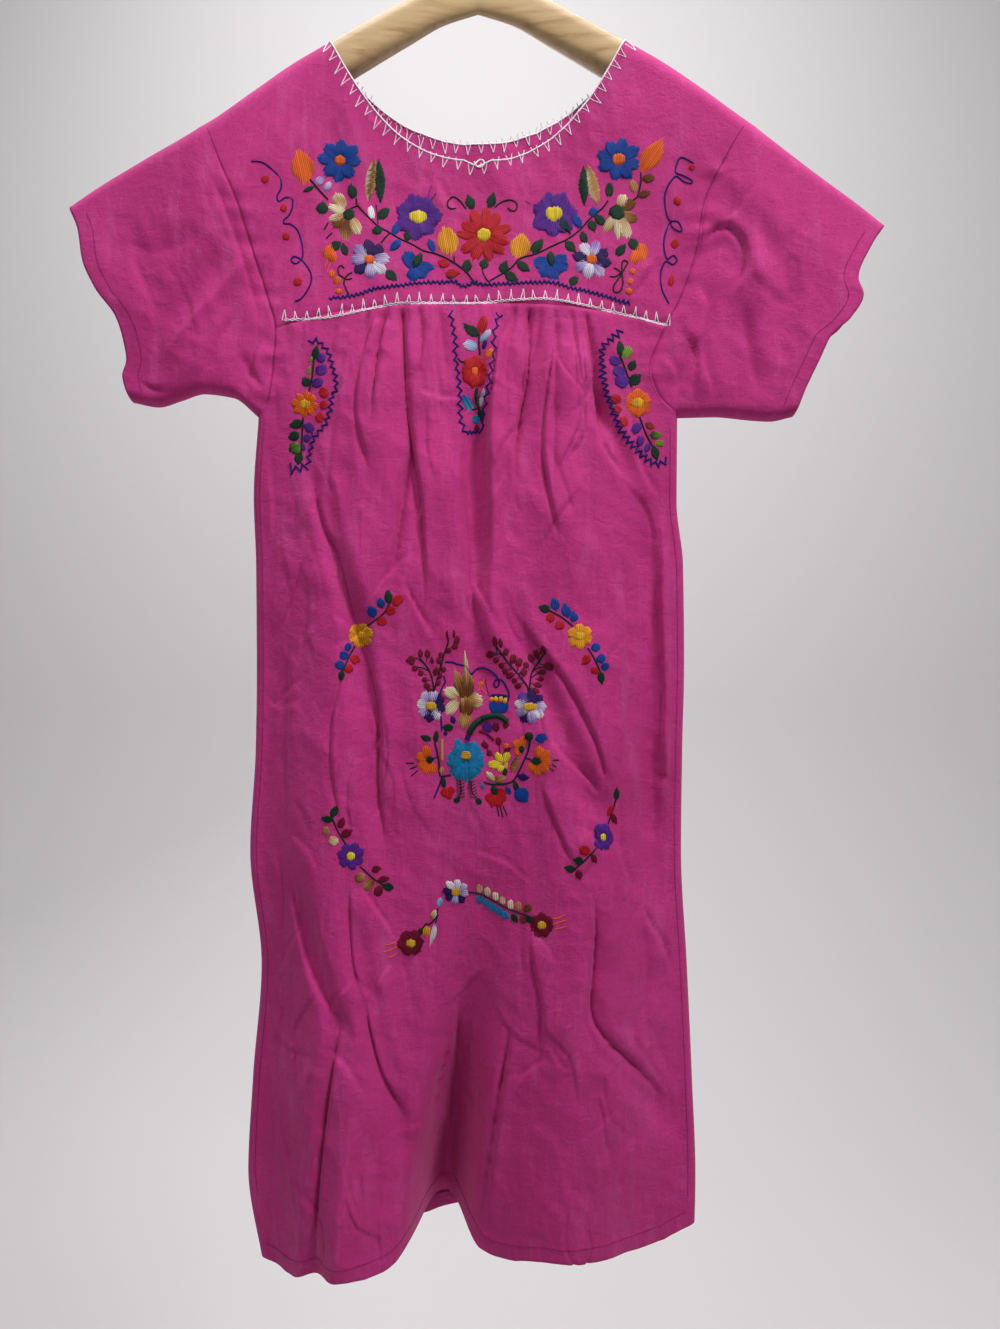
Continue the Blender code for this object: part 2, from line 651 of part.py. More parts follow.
def inset(grid, normals, tube=False):
    """Draws the open edges of a grid of points in by half of the seam gap."""
    rows, columns = len(grid), len(grid[0])
    moved = [list(row) for row in grid]

    def shift(i, j, before, after, inner):
        step = drawn_in(grid[i][j], before, after, normals[i][j], inner)
        moved[i][j] = tuple(now + part for now, part in zip(moved[i][j], step))

    for i, inner in ((0, 1), (rows - 1, rows - 2)):
        for j in range(columns):
            before = (j - 1) % columns if tube else max(j - 1, 0)
            after = (j + 1) % columns if tube else min(j + 1, columns - 1)
            shift(i, j, grid[i][before], grid[i][after], grid[inner][j])
    if not tube:
        for j, inner in ((0, 1), (columns - 1, columns - 2)):
            for i in range(rows):
                before, after = grid[max(i - 1, 0)][j], grid[min(i + 1, rows - 1)][j]
                shift(i, j, before, after, grid[i][inner])
    return moved


def new_material(name, colour, roughness, metallic=0.0):
    material = bpy.data.materials.new(name)
    material.use_nodes = True
    shader = material.node_tree.nodes["Principled BSDF"]
    shader.inputs["Base Color"].default_value = (*colour, 1.0)
    shader.inputs["Roughness"].default_value = roughness
    shader.inputs["Metallic"].default_value = metallic
    return material


def finished(name, mesh, material):
    obj = bpy.data.objects.new(name, mesh)
    bpy.context.collection.objects.link(obj)
    mesh.materials.append(material)
    mesh.shade_smooth()
    mesh.set_sharp_from_angle(angle=math.radians(50))
    return obj


def sheet_solid(name, grid, normals, material, tube=False):
    """A closed wall from a grid of points and their outward directions.

    A tube's rows close on themselves, so it has no edges along them.
    """
    rows, columns = len(grid), len(grid[0])
    shape = bmesh.new()
    layers = []
    for offset in (0.5 * WALL, -0.5 * WALL):
        layers.append([
            [
                shape.verts.new([p + n * offset for p, n in zip(grid[i][j], normals[i][j])])
                for j in range(columns)
            ]
            for i in range(rows)
        ])
    outer, inner = layers
    spans = columns if tube else columns - 1
    for i in range(rows - 1):
        for j in range(spans):
            k = (j + 1) % columns
            shape.faces.new((outer[i][j], outer[i][k], outer[i + 1][k], outer[i + 1][j]))
            shape.faces.new((inner[i + 1][j], inner[i + 1][k], inner[i][k], inner[i][j]))
    for i, flip in ((0, False), (rows - 1, True)):
        for j in range(spans):
            k = (j + 1) % columns
            ring = (inner[i][j], inner[i][k], outer[i][k], outer[i][j])
            shape.faces.new(ring[::-1] if flip else ring)
    if not tube:
        for j, flip in ((0, True), (columns - 1, False)):
            for i in range(rows - 1):
                ring = (inner[i][j], inner[i + 1][j], outer[i + 1][j], outer[i][j])
                shape.faces.new(ring[::-1] if flip else ring)
    bmesh.ops.recalc_face_normals(shape, faces=shape.faces)
    bmesh.ops.triangulate(shape, faces=shape.faces)
    mesh = bpy.data.meshes.new(name)
    shape.to_mesh(mesh)
    shape.free()
    return finished(name, mesh, material)


def panel(name, places, face, material):
    """A cut piece from its places across the outline, on the front or the back wall."""
    grid = [[cloth_point(x, z, face) for x, z in row] for row in places]
    normals = [[outward(x, z, face) for x, z in row] for row in places]
    return sheet_solid(name, inset(grid, normals), normals, material)


def yoke(name, face, material):
    neck = front_neck if face == FRONT else back_neck
    shoulder, opening = YOKE_SHOULDER_COLUMNS, YOKE_NECK_COLUMNS
    columns = 2 * shoulder + opening
    start, end = yoke_side("left", 0)[0], yoke_side("right", 0)[0]

    def top_place(index):
        if index <= shoulder:
            x = start + (-NECK_HALF_WIDTH - start) * index / shoulder
            return x, top_line(x)
        if index >= columns - shoulder:
            x = end + (NECK_HALF_WIDTH - end) * (columns - index) / shoulder
            return x, top_line(x)
        turn = math.pi * (index - shoulder) / opening
        x = -NECK_HALF_WIDTH * math.cos(turn)
        return x, neck(x)

    def bottom_place(across):
        left, right = yoke_side("left", 1)[0], yoke_side("right", 1)[0]
        x = left + (right - left) * across
        return x, yoke_seam(x)

    places = []
    for down in YOKE_ROWS:
        row = []
        for index in range(columns + 1):
            across = index / columns
            place = coons(
                lambda share: top_place(round(share * columns)),
                bottom_place,
                lambda share: yoke_side("left", share),
                lambda share: yoke_side("right", share),
                across,
                down,
            )
            row.append(place)
        places.append(row)
    return panel(name, places, face, material)


def column_shares(zones, column):
    """Shares across a skirt panel at its top or its hem, for each of its columns."""
    shares = list(SIDE_STEPS)
    for zone in zones:
        start, end = shares[-1], zone[column]
        shares += [
            start + (end - start) * step / zone["columns"]
            for step in range(1, zone["columns"] + 1)
        ]
    return shares + [1 - step for step in SIDE_STEPS[-2::-1]]


def skirt(name, face, zones, material):
    """A lower panel. Its rows follow the yoke seam at the top and the hem at the bottom."""
    edges = [
        (lower_armhole("left", share), lower_armhole("right", share)) for share in ARMHOLE_ROWS
    ]
    edges += [
        (side_seam("left", share, face), side_seam("right", share, face)) for share in SKIRT_ROWS
    ]
    top_shares = column_shares(zones, "share_top")
    hem_shares = column_shares(zones, "share_hem")
    top, bottom = edges[0], edges[-1]
    places = []
    for left, right in edges:
        level = 0.5 * (left[1] + right[1])
        down = min(max((level - top[0][1]) / (bottom[0][1] - top[0][1]), 0.0), 1.0)
        row = []
        for near_seam, near_hem in zip(top_shares, hem_shares):
            across = near_seam + (near_hem - near_seam) * ease(down, 0.0, 1.0)
            x, z = between(left, right, across)
            seam_x, seam_z = between(*top, across)
            hem_x, hem_z = between(*bottom, across)
            z += (yoke_seam(seam_x) - seam_z) * (1 - ease(down, *SEAM_CURVE_FADE))
            z += (hem(hem_x, face) - hem_z) * ease(down, *HEM_CURVE_RISE)
            row.append((x, z))
        places.append(row)
    return panel(name, places, face, material)


def sleeve(name, side, material):
    """A tube from the armhole to the cuff, front and back in one piece."""
    way = SIDES[side]
    stations = [yoke_side(side, share) for share in YOKE_ROWS]
    stations += [lower_armhole(side, share) for share in ARMHOLE_ROWS[1:]]
    lengths = [0.0]
    for first, second in zip(stations, stations[1:]):
        lengths.append(lengths[-1] + math.dist(first, second))
    shares = [length / lengths[-1] for length in lengths]
    cuff_rows = CUFF[side]
    cuff_top, cuff_bottom = cuff_rows[0]["z"], cuff_rows[-1]["z"]
    shoulder_x, (reach, _) = stations[0][0], underarm(side)

    def armhole(share):
        for index, mark in enumerate(shares[1:]):
            if share <= mark + TINY:
                inner = (share - shares[index]) / (mark - shares[index])
                return between(stations[index], stations[index + 1], inner)
        return stations[-1]

    def cuff(share):
        z = cuff_top + (cuff_bottom - cuff_top) * share
        return way * reading(cuff_rows, "z", "off", z), z

    def top_fold(share):
        x = shoulder_x + (way * cuff_rows[0]["off"] - shoulder_x) * share
        return x, top_line(x)

    def bottom_fold(share):
        x = way * (reach + (cuff_rows[-1]["off"] - reach) * share)
        return x, sleeve_bottom(side, abs(x))

    grid, normals = [], []
    for out in SLEEVE_ROWS:
        ring, turned = [], []
        loop = [(share, FRONT) for share in shares] + [(share, BACK) for share in shares[-2:0:-1]]
        for share, face in loop:
            x, z = coons(top_fold, bottom_fold, armhole, cuff, out, share)
            ring.append(cloth_point(x, z, face))
            turned.append(outward(x, z, face))
        grid.append(ring)
        normals.append(turned)
    return sheet_solid(name, inset(grid, normals, tube=True), normals, material, tube=True)


def hanger_ring(x):
    """A section of the wood, just inside the cloth that lies over it."""
    off = abs(x)
    inside = HANGER_CLEARANCE + 0.5 * WALL
    depth = reading(HALF_DEPTH, "off", "shoulder", off) * WOOD_DEPTH_SHARE - inside
    top = top_line(x) - inside / SHOULDER_SLOPE_COS
    taper = ease(off, HANGER_TAPER_START, HANGER_REACH)
    height = HANGER_HEIGHT + (HANGER_END_HEIGHT - HANGER_HEIGHT) * taper
    centre = middle_sheet(x, 0)
    crown = SHOULDER_ROUND / SHOULDER_SLOPE_COS
    ring = []
    for step in range(WOOD_CROWN_STEPS + 1):
        turn = math.pi * (step / WOOD_CROWN_STEPS - 0.5)
        ring.append((x, centre + depth * math.sin(turn), top - crown * (1 - math.cos(turn))))
    lower = top - height
    ring.append((x, centre + depth, lower + WOOD_CHAMFER_HEIGHT))
    ring.append((x, centre + depth * WOOD_CHAMFER_SHARE, lower))
    ring.append((x, centre - depth * WOOD_CHAMFER_SHARE, lower))
    ring.append((x, centre - depth, lower + WOOD_CHAMFER_HEIGHT))
    return ring


def hanger_wood(material):
    shape = bmesh.new()
    rings = []
    for index in range(HANGER_RINGS):
        run = index / (HANGER_RINGS - 1)
        crowded, even = math.cos(math.pi * run), 1 - 2 * run
        x = -HANGER_REACH * (even + (crowded - even) * HANGER_END_CROWDING)
        rings.append([shape.verts.new(place) for place in hanger_ring(x)])
    count = len(rings[0])
    for first, second in zip(rings, rings[1:]):
        for j in range(count):
            k = (j + 1) % count
            shape.faces.new((first[j], first[k], second[k], second[j]))
    shape.faces.new(rings[0])
    shape.faces.new(rings[-1][::-1])
    bmesh.ops.recalc_face_normals(shape, faces=shape.faces)
    bmesh.ops.triangulate(shape, faces=shape.faces)
    mesh = bpy.data.meshes.new("hanger_wood")
    shape.to_mesh(mesh)
    shape.free()
    wood = finished("hanger_wood", mesh, material)
    bore = bpy.data.meshes.new("socket_cutter")
    cutter_shape = bmesh.new()
    bmesh.ops.create_cone(
        cutter_shape, cap_ends=True, segments=16, depth=2 * SOCKET_DEPTH,
        radius1=SOCKET_RADIUS, radius2=SOCKET_RADIUS,
    )
    bmesh.ops.translate(cutter_shape, verts=cutter_shape.verts, vec=(0, 0, top_line(0)))
    cutter_shape.to_mesh(bore)
    cutter_shape.free()
    cutter = bpy.data.objects.new("socket_cutter", bore)
    bpy.context.collection.objects.link(cutter)
    cutter.hide_render = True
    cutter.display_type = "WIRE"
    cut = wood.modifiers.new("socket", "BOOLEAN")
    cut.operation = "DIFFERENCE"
    cut.object = cutter
    return wood


def hanger_hook(material):
    """Wire from the socket in the wood, up and round the hanging point."""
    centre = HOOK_WIRE - HOOK_RADIUS
    reach = HOOK_RADIUS + HOOK_NECK_RADIUS
    lean = math.acos(HOOK_NECK_RADIUS / reach)
    neck_z = centre - reach * math.sin(lean)
    path = [(0.0, top_line(0) - SOCKET_DEPTH + SEAM_GAP), (0.0, top_line(0)), (0.0, neck_z)]
    for step in range(1, HOOK_NECK_STEPS):
        turn = math.pi - lean * step / HOOK_NECK_STEPS
        x = HOOK_NECK_RADIUS * (1 + math.cos(turn))
        path.append((x, neck_z + HOOK_NECK_RADIUS * math.sin(turn)))
    for step in range(HOOK_STEPS + 1):
        turn = -lean + (math.radians(HOOK_TIP_ANGLE) + lean) * step / HOOK_STEPS
        path.append((HOOK_RADIUS * math.cos(turn), centre + HOOK_RADIUS * math.sin(turn)))
    curve = bpy.data.curves.new("hanger_hook", "CURVE")
    curve.dimensions = "3D"
    curve.bevel_depth = HOOK_WIRE
    curve.bevel_resolution = 2
    curve.use_fill_caps = True
    spline = curve.splines.new("POLY")
    spline.points.add(len(path) - 1)
    for point, (x, z) in zip(spline.points, path):
        point.co = (x, 0.0, z, 1.0)
    hook = bpy.data.objects.new("hanger_hook", curve)
    bpy.context.collection.objects.link(hook)
    curve.materials.append(material)
    return hook


def main():
    for obj in list(bpy.data.objects):
        bpy.data.objects.remove(obj, do_unlink=True)
    cotton = {
        name: new_material(f"cotton_{name}", (0.48, 0.035, 0.18), 0.85)
        for name in (
            "front_yoke", "back_yoke", "front_skirt", "back_skirt", "left_sleeve", "right_sleeve"
        )
    }
    yoke("front_yoke", FRONT, cotton["front_yoke"])
    yoke("back_yoke", BACK, cotton["back_yoke"])
    skirt("front_skirt", FRONT, FRONT_COLUMNS, cotton["front_skirt"])
    skirt("back_skirt", BACK, BACK_COLUMNS, cotton["back_skirt"])
    sleeve("left_sleeve", "left", cotton["left_sleeve"])
    sleeve("right_sleeve", "right", cotton["right_sleeve"])
    hanger_wood(new_material("pale_wood", (0.72, 0.47, 0.24), 0.45))
    hanger_hook(new_material("plated_wire", (0.75, 0.75, 0.76), 0.25, 1.0))


main()
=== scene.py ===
# Embroidered cotton dress on a wooden hanger: the looks.
# Metres, +Z up, the front of the dress faces -Y. The hook's inside top is the origin.
import math

import bmesh
import bpy
import numpy as np
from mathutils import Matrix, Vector


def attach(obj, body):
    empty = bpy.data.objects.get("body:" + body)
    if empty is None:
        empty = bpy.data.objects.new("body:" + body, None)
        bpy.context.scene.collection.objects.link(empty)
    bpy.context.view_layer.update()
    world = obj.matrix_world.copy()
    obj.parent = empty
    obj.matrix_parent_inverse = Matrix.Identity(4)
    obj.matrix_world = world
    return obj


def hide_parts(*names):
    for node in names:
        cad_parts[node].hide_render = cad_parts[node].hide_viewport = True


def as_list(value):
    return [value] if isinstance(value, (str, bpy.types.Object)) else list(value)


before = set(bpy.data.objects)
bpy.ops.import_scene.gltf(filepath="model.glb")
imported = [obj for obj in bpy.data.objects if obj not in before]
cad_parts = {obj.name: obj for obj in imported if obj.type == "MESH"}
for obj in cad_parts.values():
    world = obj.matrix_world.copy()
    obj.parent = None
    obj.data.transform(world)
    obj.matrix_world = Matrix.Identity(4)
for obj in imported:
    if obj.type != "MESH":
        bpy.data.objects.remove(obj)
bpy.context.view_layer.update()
print("frame loaded", sorted(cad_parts))

front, back = -1, 1
left, right = -1, 1

# The photograph's camera. Places given in photo pixels (1000 x 1329) are found through it.
photoCamera = {
    "place": (0.0194, -0.845, -0.682),
    "focalPixels": 960.0,
    "middlePixel": (500.0, 664.5),
    "filmHeight": 36.0,
    "pixelHeight": 1329.0,
}

hanger = {
    "reach": 0.222,
    "height": 0.037,
    "endHeight": 0.026,
    "taperStart": 0.1,
    "clearance": 0.002,
    "seamReach": (0.15, 0.19),
    "seamClearance": 0.003,
    "seamThinner": 0.16,
    "endCrowd": 1.35,
    "depthShare": 0.9,
    "rings": 141,
    "around": 48,
    "roundEnd": 0.01,
    "roundness": 3.2,
}

# The dress's outline, the same as its solids have
outline = {
    "neckHalfWidth": 0.129,
    "frontNeckLow": -0.2455,
    "frontNeckShape": 2.45,
    "notchDepth": 0.005,
    "notchHalfWidth": 0.012,
    "backNeckLow": -0.2185,
    "backNeckShape": 2.3,
    "seamMiddle": -0.37,
    "seamFall": 0.021,
    "seamReach": 0.163,
    "seamShape": 2.26,
    "shoulderRound": 0.017,
    "sleeveTopRound": 0.012,
    "sideRound": 0.008,
    "slopeCos": 0.83,
    "contourForward": 0.02,
    "contourReach": 0.235,
    "contourFade": (-0.35, -0.75),
    "slitReach": (-1.04, -1.19),
    "slitOpen": 0.007,
    "bulgeReach": 0.085,
    "bulgeStart": -0.26,
    "sideFade": 0.022,
    "shoulderFade": (0.02, 0.06),
    "depthEnds": (0.05, 0.19),
}


def together(*parts):
    # coordinates side by side, as places (x, z) or points (x, y, z)
    return np.stack(parts, axis=-1)


def metres(table):
    # a table in tenths of a millimetre, in metres
    if isinstance(table, dict):
        return {key: metres(part) for key, part in table.items()}
    return np.array(table) / 10000


topLineTable = metres({
    "off": (0, 300, 600, 950, 1300, 1600, 1900, 2320, 2830, 3250, 3480),
    "left": (-700, -795, -968, -1185, -1418, -1625, -1868, -2205, -2500, -2750, -2905),
    "right": (-700, -795, -968, -1180, -1405, -1605, -1840, -2192, -2580, -2885, -3065),
})
sleeveBottomTable = metres({
    "left": {
        "off": (1900, 2120, 2360, 2570, 2760, 2970),
        "z": (-4676, -4510, -4485, -4545, -4598, -4560),
    },
    "right": {
        "off": (1735, 2050, 2380, 2530, 2720),
        "z": (-4670, -4672, -4711, -4719, -4680),
    },
})
cuffTable = metres({
    "left": {
        "z": (-2905, -3140, -3380, -3640, -3870, -4040, -4220, -4360, -4560),
        "off": (3480, 3380, 3345, 3230, 3065, 3010, 2985, 3020, 2970),
    },
    "right": {
        "z": (-3065, -3270, -3550, -3690, -3890, -4020, -4230, -4490, -4680),
        "off": (3480, 3340, 3225, 3270, 3160, 3010, 2910, 2790, 2720),
    },
})
armholeTable = metres({
    "left": {
        "z": (-2205, -2520, -2910, -3260, -3670, -3920, -4300, -4530, -4676),
        "off": (2320, 2200, 2032, 1930, 1805, 1740, 1765, 1800, 1900),
    },
    "right": {
        "z": (-2192, -2520, -2910, -3260, -3670, -3920, -4300, -4500, -4670),
        "off": (2320, 2120, 1940, 1890, 1755, 1625, 1490, 1560, 1735),
    },
})
bodyTable = metres({
    "z": (-4680, -5400, -5950, -6880, -7570, -8450, -9440, -10430, -11200, -12000),
    "left": (1900, 1950, 1937, 1940, 1952, 2000, 1900, 1975, 2010, 1880),
    "right": (1735, 1735, 1795, 1810, 1795, 1785, 1835, 1880, 1905, 1880),
    "front": (120, 190, 230, 270, 290, 280, 260, 220, 200, 180),
    "back": (80, 110, 120, 140, 160, 190, 240, 300, 360, 420),
})
depthTable = metres({
    "off": (0, 1300, 2220, 3000, 3600),
    "shoulder": (85, 165, 195, 150, 120),
    "body": (120, 120, 110, 110, 105),
})
hemTable = metres({
    "x": (-1900, -1650, -1300, -1050, -800, -550, -400, -180, 150, 600, 1000, 1500, 1885),
    "front": (-11970, -12010, -11890, -11840, -11850, -11740, -11640, -11660, -11800, -11720, -11740,
        -11790, -11680),
    "back": (-11985, -11980, -11960, -11940, -11930, -11900, -11890, -11880, -11880, -11870, -11870, -11840,
        -11760),
})


def tableCurve(table, along, column):
    # a smooth curve through one column, without overshoot
    order = np.argsort(table[along])
    places, values = table[along][order], table[column][order]
    slopes = np.diff(values) / np.diff(places)
    tangents = np.concatenate(([slopes[0]], np.zeros(len(slopes) - 1), [slopes[-1]]))
    for i in range(1, len(slopes)):
        before, after = slopes[i - 1], slopes[i]
        if before * after > 0:
            tangents[i] = 2 * before * after / (before + after)

    def read(at):
        at = np.clip(at, places[0], places[-1])
        i = np.clip(np.searchsorted(places, at) - 1, 0, len(slopes) - 1)
        span = places[i + 1] - places[i]
        share = (at - places[i]) / span
        rest = 1 - share
        curve = values[i] * (1 + 2 * share) * rest**2 + values[i + 1] * share**2 * (3 - 2 * share)
        return curve + tangents[i] * span * share * rest**2 - tangents[i + 1] * span * share**2 * rest

    return read


def ease(value, start, end):
    share = np.clip((value - start) / (end - start), 0.0, 1.0)
    return share * share * (3 - 2 * share)


def bySide(x, leftValue, rightValue):
    return np.where(np.asarray(x) < 0, leftValue, rightValue)


sideName = {left: "left", right: "right"}
faceName = {front: "front", back: "back"}
topCurve = {side: tableCurve(topLineTable, "off", sideName[side]) for side in sideName}
bottomCurve = {side: tableCurve(sleeveBottomTable[name], "off", "z") for side, name in sideName.items()}
cuffCurve = {side: tableCurve(cuffTable[name], "z", "off") for side, name in sideName.items()}
armholeCurve = {side: tableCurve(armholeTable[name], "z", "off") for side, name in sideName.items()}
bodyCurve = {column: tableCurve(bodyTable, "z", column) for column in ("left", "right", "front", "back")}
depthCurve = {column: tableCurve(depthTable, "off", column) for column in ("shoulder", "body")}
hemCurve = {front: tableCurve(hemTable, "x", "front"), back: tableCurve(hemTable, "x", "back")}
underarmPlace = {
    side: (sleeveBottomTable[name]["off"][0], sleeveBottomTable[name]["z"][0])
    for side, name in sideName.items()
}
armholeTop = {side: armholeTable[name]["z"][0] for side, name in sideName.items()}


def topLine(x):
    off = np.abs(x)
    return bySide(x, topCurve[left](off), topCurve[right](off))


def bodyEdge(x, z):
    edges = []
    for side, name in sideName.items():
        reach, level = underarmPlace[side]
        edges.append(np.where(z > level, reach, bodyCurve[name](z)))
    return bySide(x, *edges)


def sleeveBottom(x):
    off, folds = np.abs(x), []
    for side, (reach, level) in underarmPlace.items():
        folds.append(np.where(off < reach, level, bottomCurve[side](off)))
    return bySide(x, *folds)


def topRounding(x):
    past = ease(np.abs(x), hanger["reach"], topLineTable["off"][-1])
    return outline["shoulderRound"] + (outline["sleeveTopRound"] - outline["shoulderRound"]) * past


def rounded(share):
    share = np.clip(share, 0.0, 1.0)
    return np.sqrt(share * (2 - share))


def sideDistance(x, z):
    inward = np.maximum(bodyEdge(x, z) - np.abs(x), 0.0)
    upward = np.maximum(z - sleeveBottom(x), 0.0)
    return np.hypot(inward, upward)


def yokeSeam(x):
    share = np.abs(x) / outline["seamReach"]
    return outline["seamMiddle"] - outline["seamFall"] * share ** outline["seamShape"]


def neckLine(x, face):
    reach = outline["neckHalfWidth"]
    name = faceName[face] + "Neck"
    end = bySide(x, topCurve[left](reach), topCurve[right](reach))
    share = np.minimum(np.abs(x) / reach, 1.0)
    low = outline[name + "Low"]
    notch = outline["notchDepth"] * np.maximum(1 - np.abs(x) / outline["notchHalfWidth"], 0.0)
    return low + (end - low) * share ** outline[name + "Shape"] - notch * (face == front)


# Gathers: tucks that start at the yoke seam
gathers = {
    "start": 0.001,
    "growth": 0.01,
    "narrow": 0.5,
    "widen": 1.6,
    "press": 0.75,
    "fadeStart": 0.45,
    "sharpness": 1.2,
    "front": metres({
        "x": (-925, -790, -655, -495, -340, 330, 455, 560, 675, 810, 925),
        "drift": (-90, -120, 200, -20, 90, -160, -150, -110, -40, 70, 220),
        "length": (450, 1100, 2600, 600, 750, 1000, 1650, 700, 1900, 1400, 1500),
        "width": (36, 36, 40, 36, 40, 40, 42, 36, 40, 38, 42),
        "depth": (45, 55, 90, 40, 35, 35, 85, 40, 60, 50, 70),
    }),
    "back": metres({
        "x": (-930, -790, -650, -500, -360, 350, 490, 640, 780, 920),
        "drift": (-120, -60, -100, 30, 40, -40, 60, 40, 110, 130),
        "length": (1200, 700, 2200, 900, 1400, 1100, 2400, 800, 1500, 1000),
        "width": (44, 44, 46, 44, 44, 44, 46, 44, 44, 44),
        "depth": (50, 42, 75, 45, 50, 45, 75, 42, 55, 48),
    }),
}

# Main folds, in millimetres: start x, z, end x, z, width at each end, rise at each end. They match
# the solids.
mainFolds = {
    "front": [
        ("left lobe", -130, -660, -112, -1230, 55, 75, 4, 36),
        ("right lobe", 90, -640, 72, -1230, 60, 85, 6, 30),
        ("centre valley", 4, -850, -37, -1215, 34, 36, -4, -76),
        ("centre dip", -1, -470, -4, -700, 16, 22, -12, -4),
        ("centre roll", 13, -400, 12, -660, 12, 16, 5, 5),
        ("left gathers roll", -75, -420, -100, -640, 34, 36, 7, 6),
        ("right gathers roll", 66, -420, 78, -620, 34, 36, 6, 5),
        ("left branch", -58, -505, -74, -625, 8, 10, -5, -2),
        ("left side fold top", -140, -510, -104, -640, 16, 18, -5, -7),
        ("left side fold", -104, -630, -80, -820, 18, 16, -7, -4),
        ("right arch", 101, -455, 131, -525, 12, 14, -7, -4),
        ("right trough", 142, -560, 146, -830, 22, 22, -8, -6),
        ("right flap", 160, -565, 161, -820, 10, 10, 5, 6),
        ("middle crease", 30, -640, 104, -815, 16, 18, -6, -6),
        ("left hem top", -150, -880, -112, -990, 14, 16, -5, -6),
        ("left hem", -112, -975, -136, -1210, 16, 20, -7, -15),
        ("left lobe inner", -106, -880, -66, -1075, 14, 16, -5, -6),
        ("right lobe top", 98, -880, 94, -985, 15, 16, -5, -6),
        ("right lobe low", 100, -990, 168, -1080, 16, 18, -6, -5),
        ("left sleeve", -215, -330, -262, -400, 16, 18, -4, -4),
        ("right sleeve", 212, -290, 258, -345, 18, 22, -3, -4),
        ("right sleeve low", 258, -345, 262, -420, 20, 20, -6, -4),
    ],
    "back": [
        ("left lobe", -100, -640, -115, -1230, 50, 55, 3, 14),
        ("middle lobe", 10, -620, 4, -1230, 45, 55, 4, 10),
        ("right lobe", 105, -700, 120, -1230, 40, 50, 3, 14),
        ("left trough", -50, -600, -58, -1230, 22, 26, -5, -10),
        ("right trough", 60, -560, 64, -1230, 22, 26, -5, -10),
        ("left gathers roll", -70, -420, -85, -620, 34, 36, 5, 4),
        ("right gathers roll", 70, -420, 82, -620, 34, 36, 5, 4),
    ],
    "endFade": 0.035,
}


def smoothPath(points, step):
    # a rounded line through the points, resampled at about the step
    points = np.array(points, float).reshape(-1, 2)
    if len(points) < 3:
        count = max(int(np.ceil(np.linalg.norm(points[-1] - points[0]) / step)), 1)
        return points[0] + (points[-1] - points[0]) * np.linspace(0, 1, count + 1)[:, None]
    padded = np.vstack((2 * points[0] - points[1], points, 2 * points[-1] - points[-2]))
    pieces = []
    for i in range(len(points) - 1):
        p0, p1, p2, p3 = padded[i : i + 4]
        count = max(int(np.ceil(np.linalg.norm(p2 - p1) / step)), 1)
        t = np.linspace(0, 1, count, endpoint=False)[:, None]
        curve = 2 * p1 + (p2 - p0) * t + (2 * p0 - 5 * p1 + 4 * p2 - p3) * t**2
        pieces.append(0.5 * (curve + (3 * p1 - p0 - 3 * p2 + p3) * t**3))
    return np.vstack(pieces + [points[-1:]])


def evenly(path, gap):
    # places at even steps along a rounded line
    points = smoothPath(path, 1.0)
    along = np.concatenate(([0.0], np.cumsum(np.hypot(*np.diff(points, axis=0).T))))
    stops = np.linspace(0, along[-1], max(int(round(along[-1] / gap)), 1) + 1)
    return together(*(np.interp(stops, along, points[:, k]) for k in (0, 1)))


def atDepth(pixels, y):
    # photo pixels to (x, z) on a plane that is y metres behind the origin
    pixels = np.array(pixels, float)
    metresPerPixel = (y - photoCamera["place"][1]) / photoCamera["focalPixels"]
    x = photoCamera["place"][0] + (pixels[..., 0] - photoCamera["middlePixel"][0]) * metresPerPixel
    z = photoCamera["place"][2] - (pixels[..., 1] - photoCamera["middlePixel"][1]) * metresPerPixel
    return together(x, z)


def gatherRelief(table, x, z):
    below = yokeSeam(x) - z
    relief = np.zeros(np.shape(x))
    for start, drift, length, width, depth in zip(*table.values()):
        run = np.clip(below / length, 0, 1)
        reach = gathers["narrow"] * width * (1 + gathers["widen"] * run)
        across = np.abs(x - start - drift * run) / reach
        strength = ease(below, gathers["start"], gathers["start"] + gathers["growth"])
        strength = strength * (1 - ease(run, gathers["fadeStart"], 1.0))
        relief = relief - gathers["press"] * depth * strength * np.exp(-(across ** gathers["sharpness"]))
    return relief


def foldRelief(folds, x, z):
    relief, fade = np.zeros(np.shape(x)), mainFolds["endFade"]
    for name, *numbers in folds:
        start, end, width, rise = np.reshape(numbers, (4, 2)) / 1000
        run = end - start
        length = np.hypot(*run)
        along = ((x - start[0]) * run[0] + (z - start[1]) * run[1]) / length
        across = np.abs((x - start[0]) * run[1] - (z - start[1]) * run[0]) / length
        share = np.clip(along / length, 0, 1)
        reach = width[0] + (width[1] - width[0]) * share
        ends = ease(along, -fade, fade) * (1 - ease(along, length - fade, length + fade))
        height = rise[0] + (rise[1] - rise[0]) * ease(share, 0.0, 1.0)
        bump = np.cos(0.5 * np.pi * np.clip(across / reach, 0, 1)) ** 2
        relief = relief + height * ends * bump
    return relief


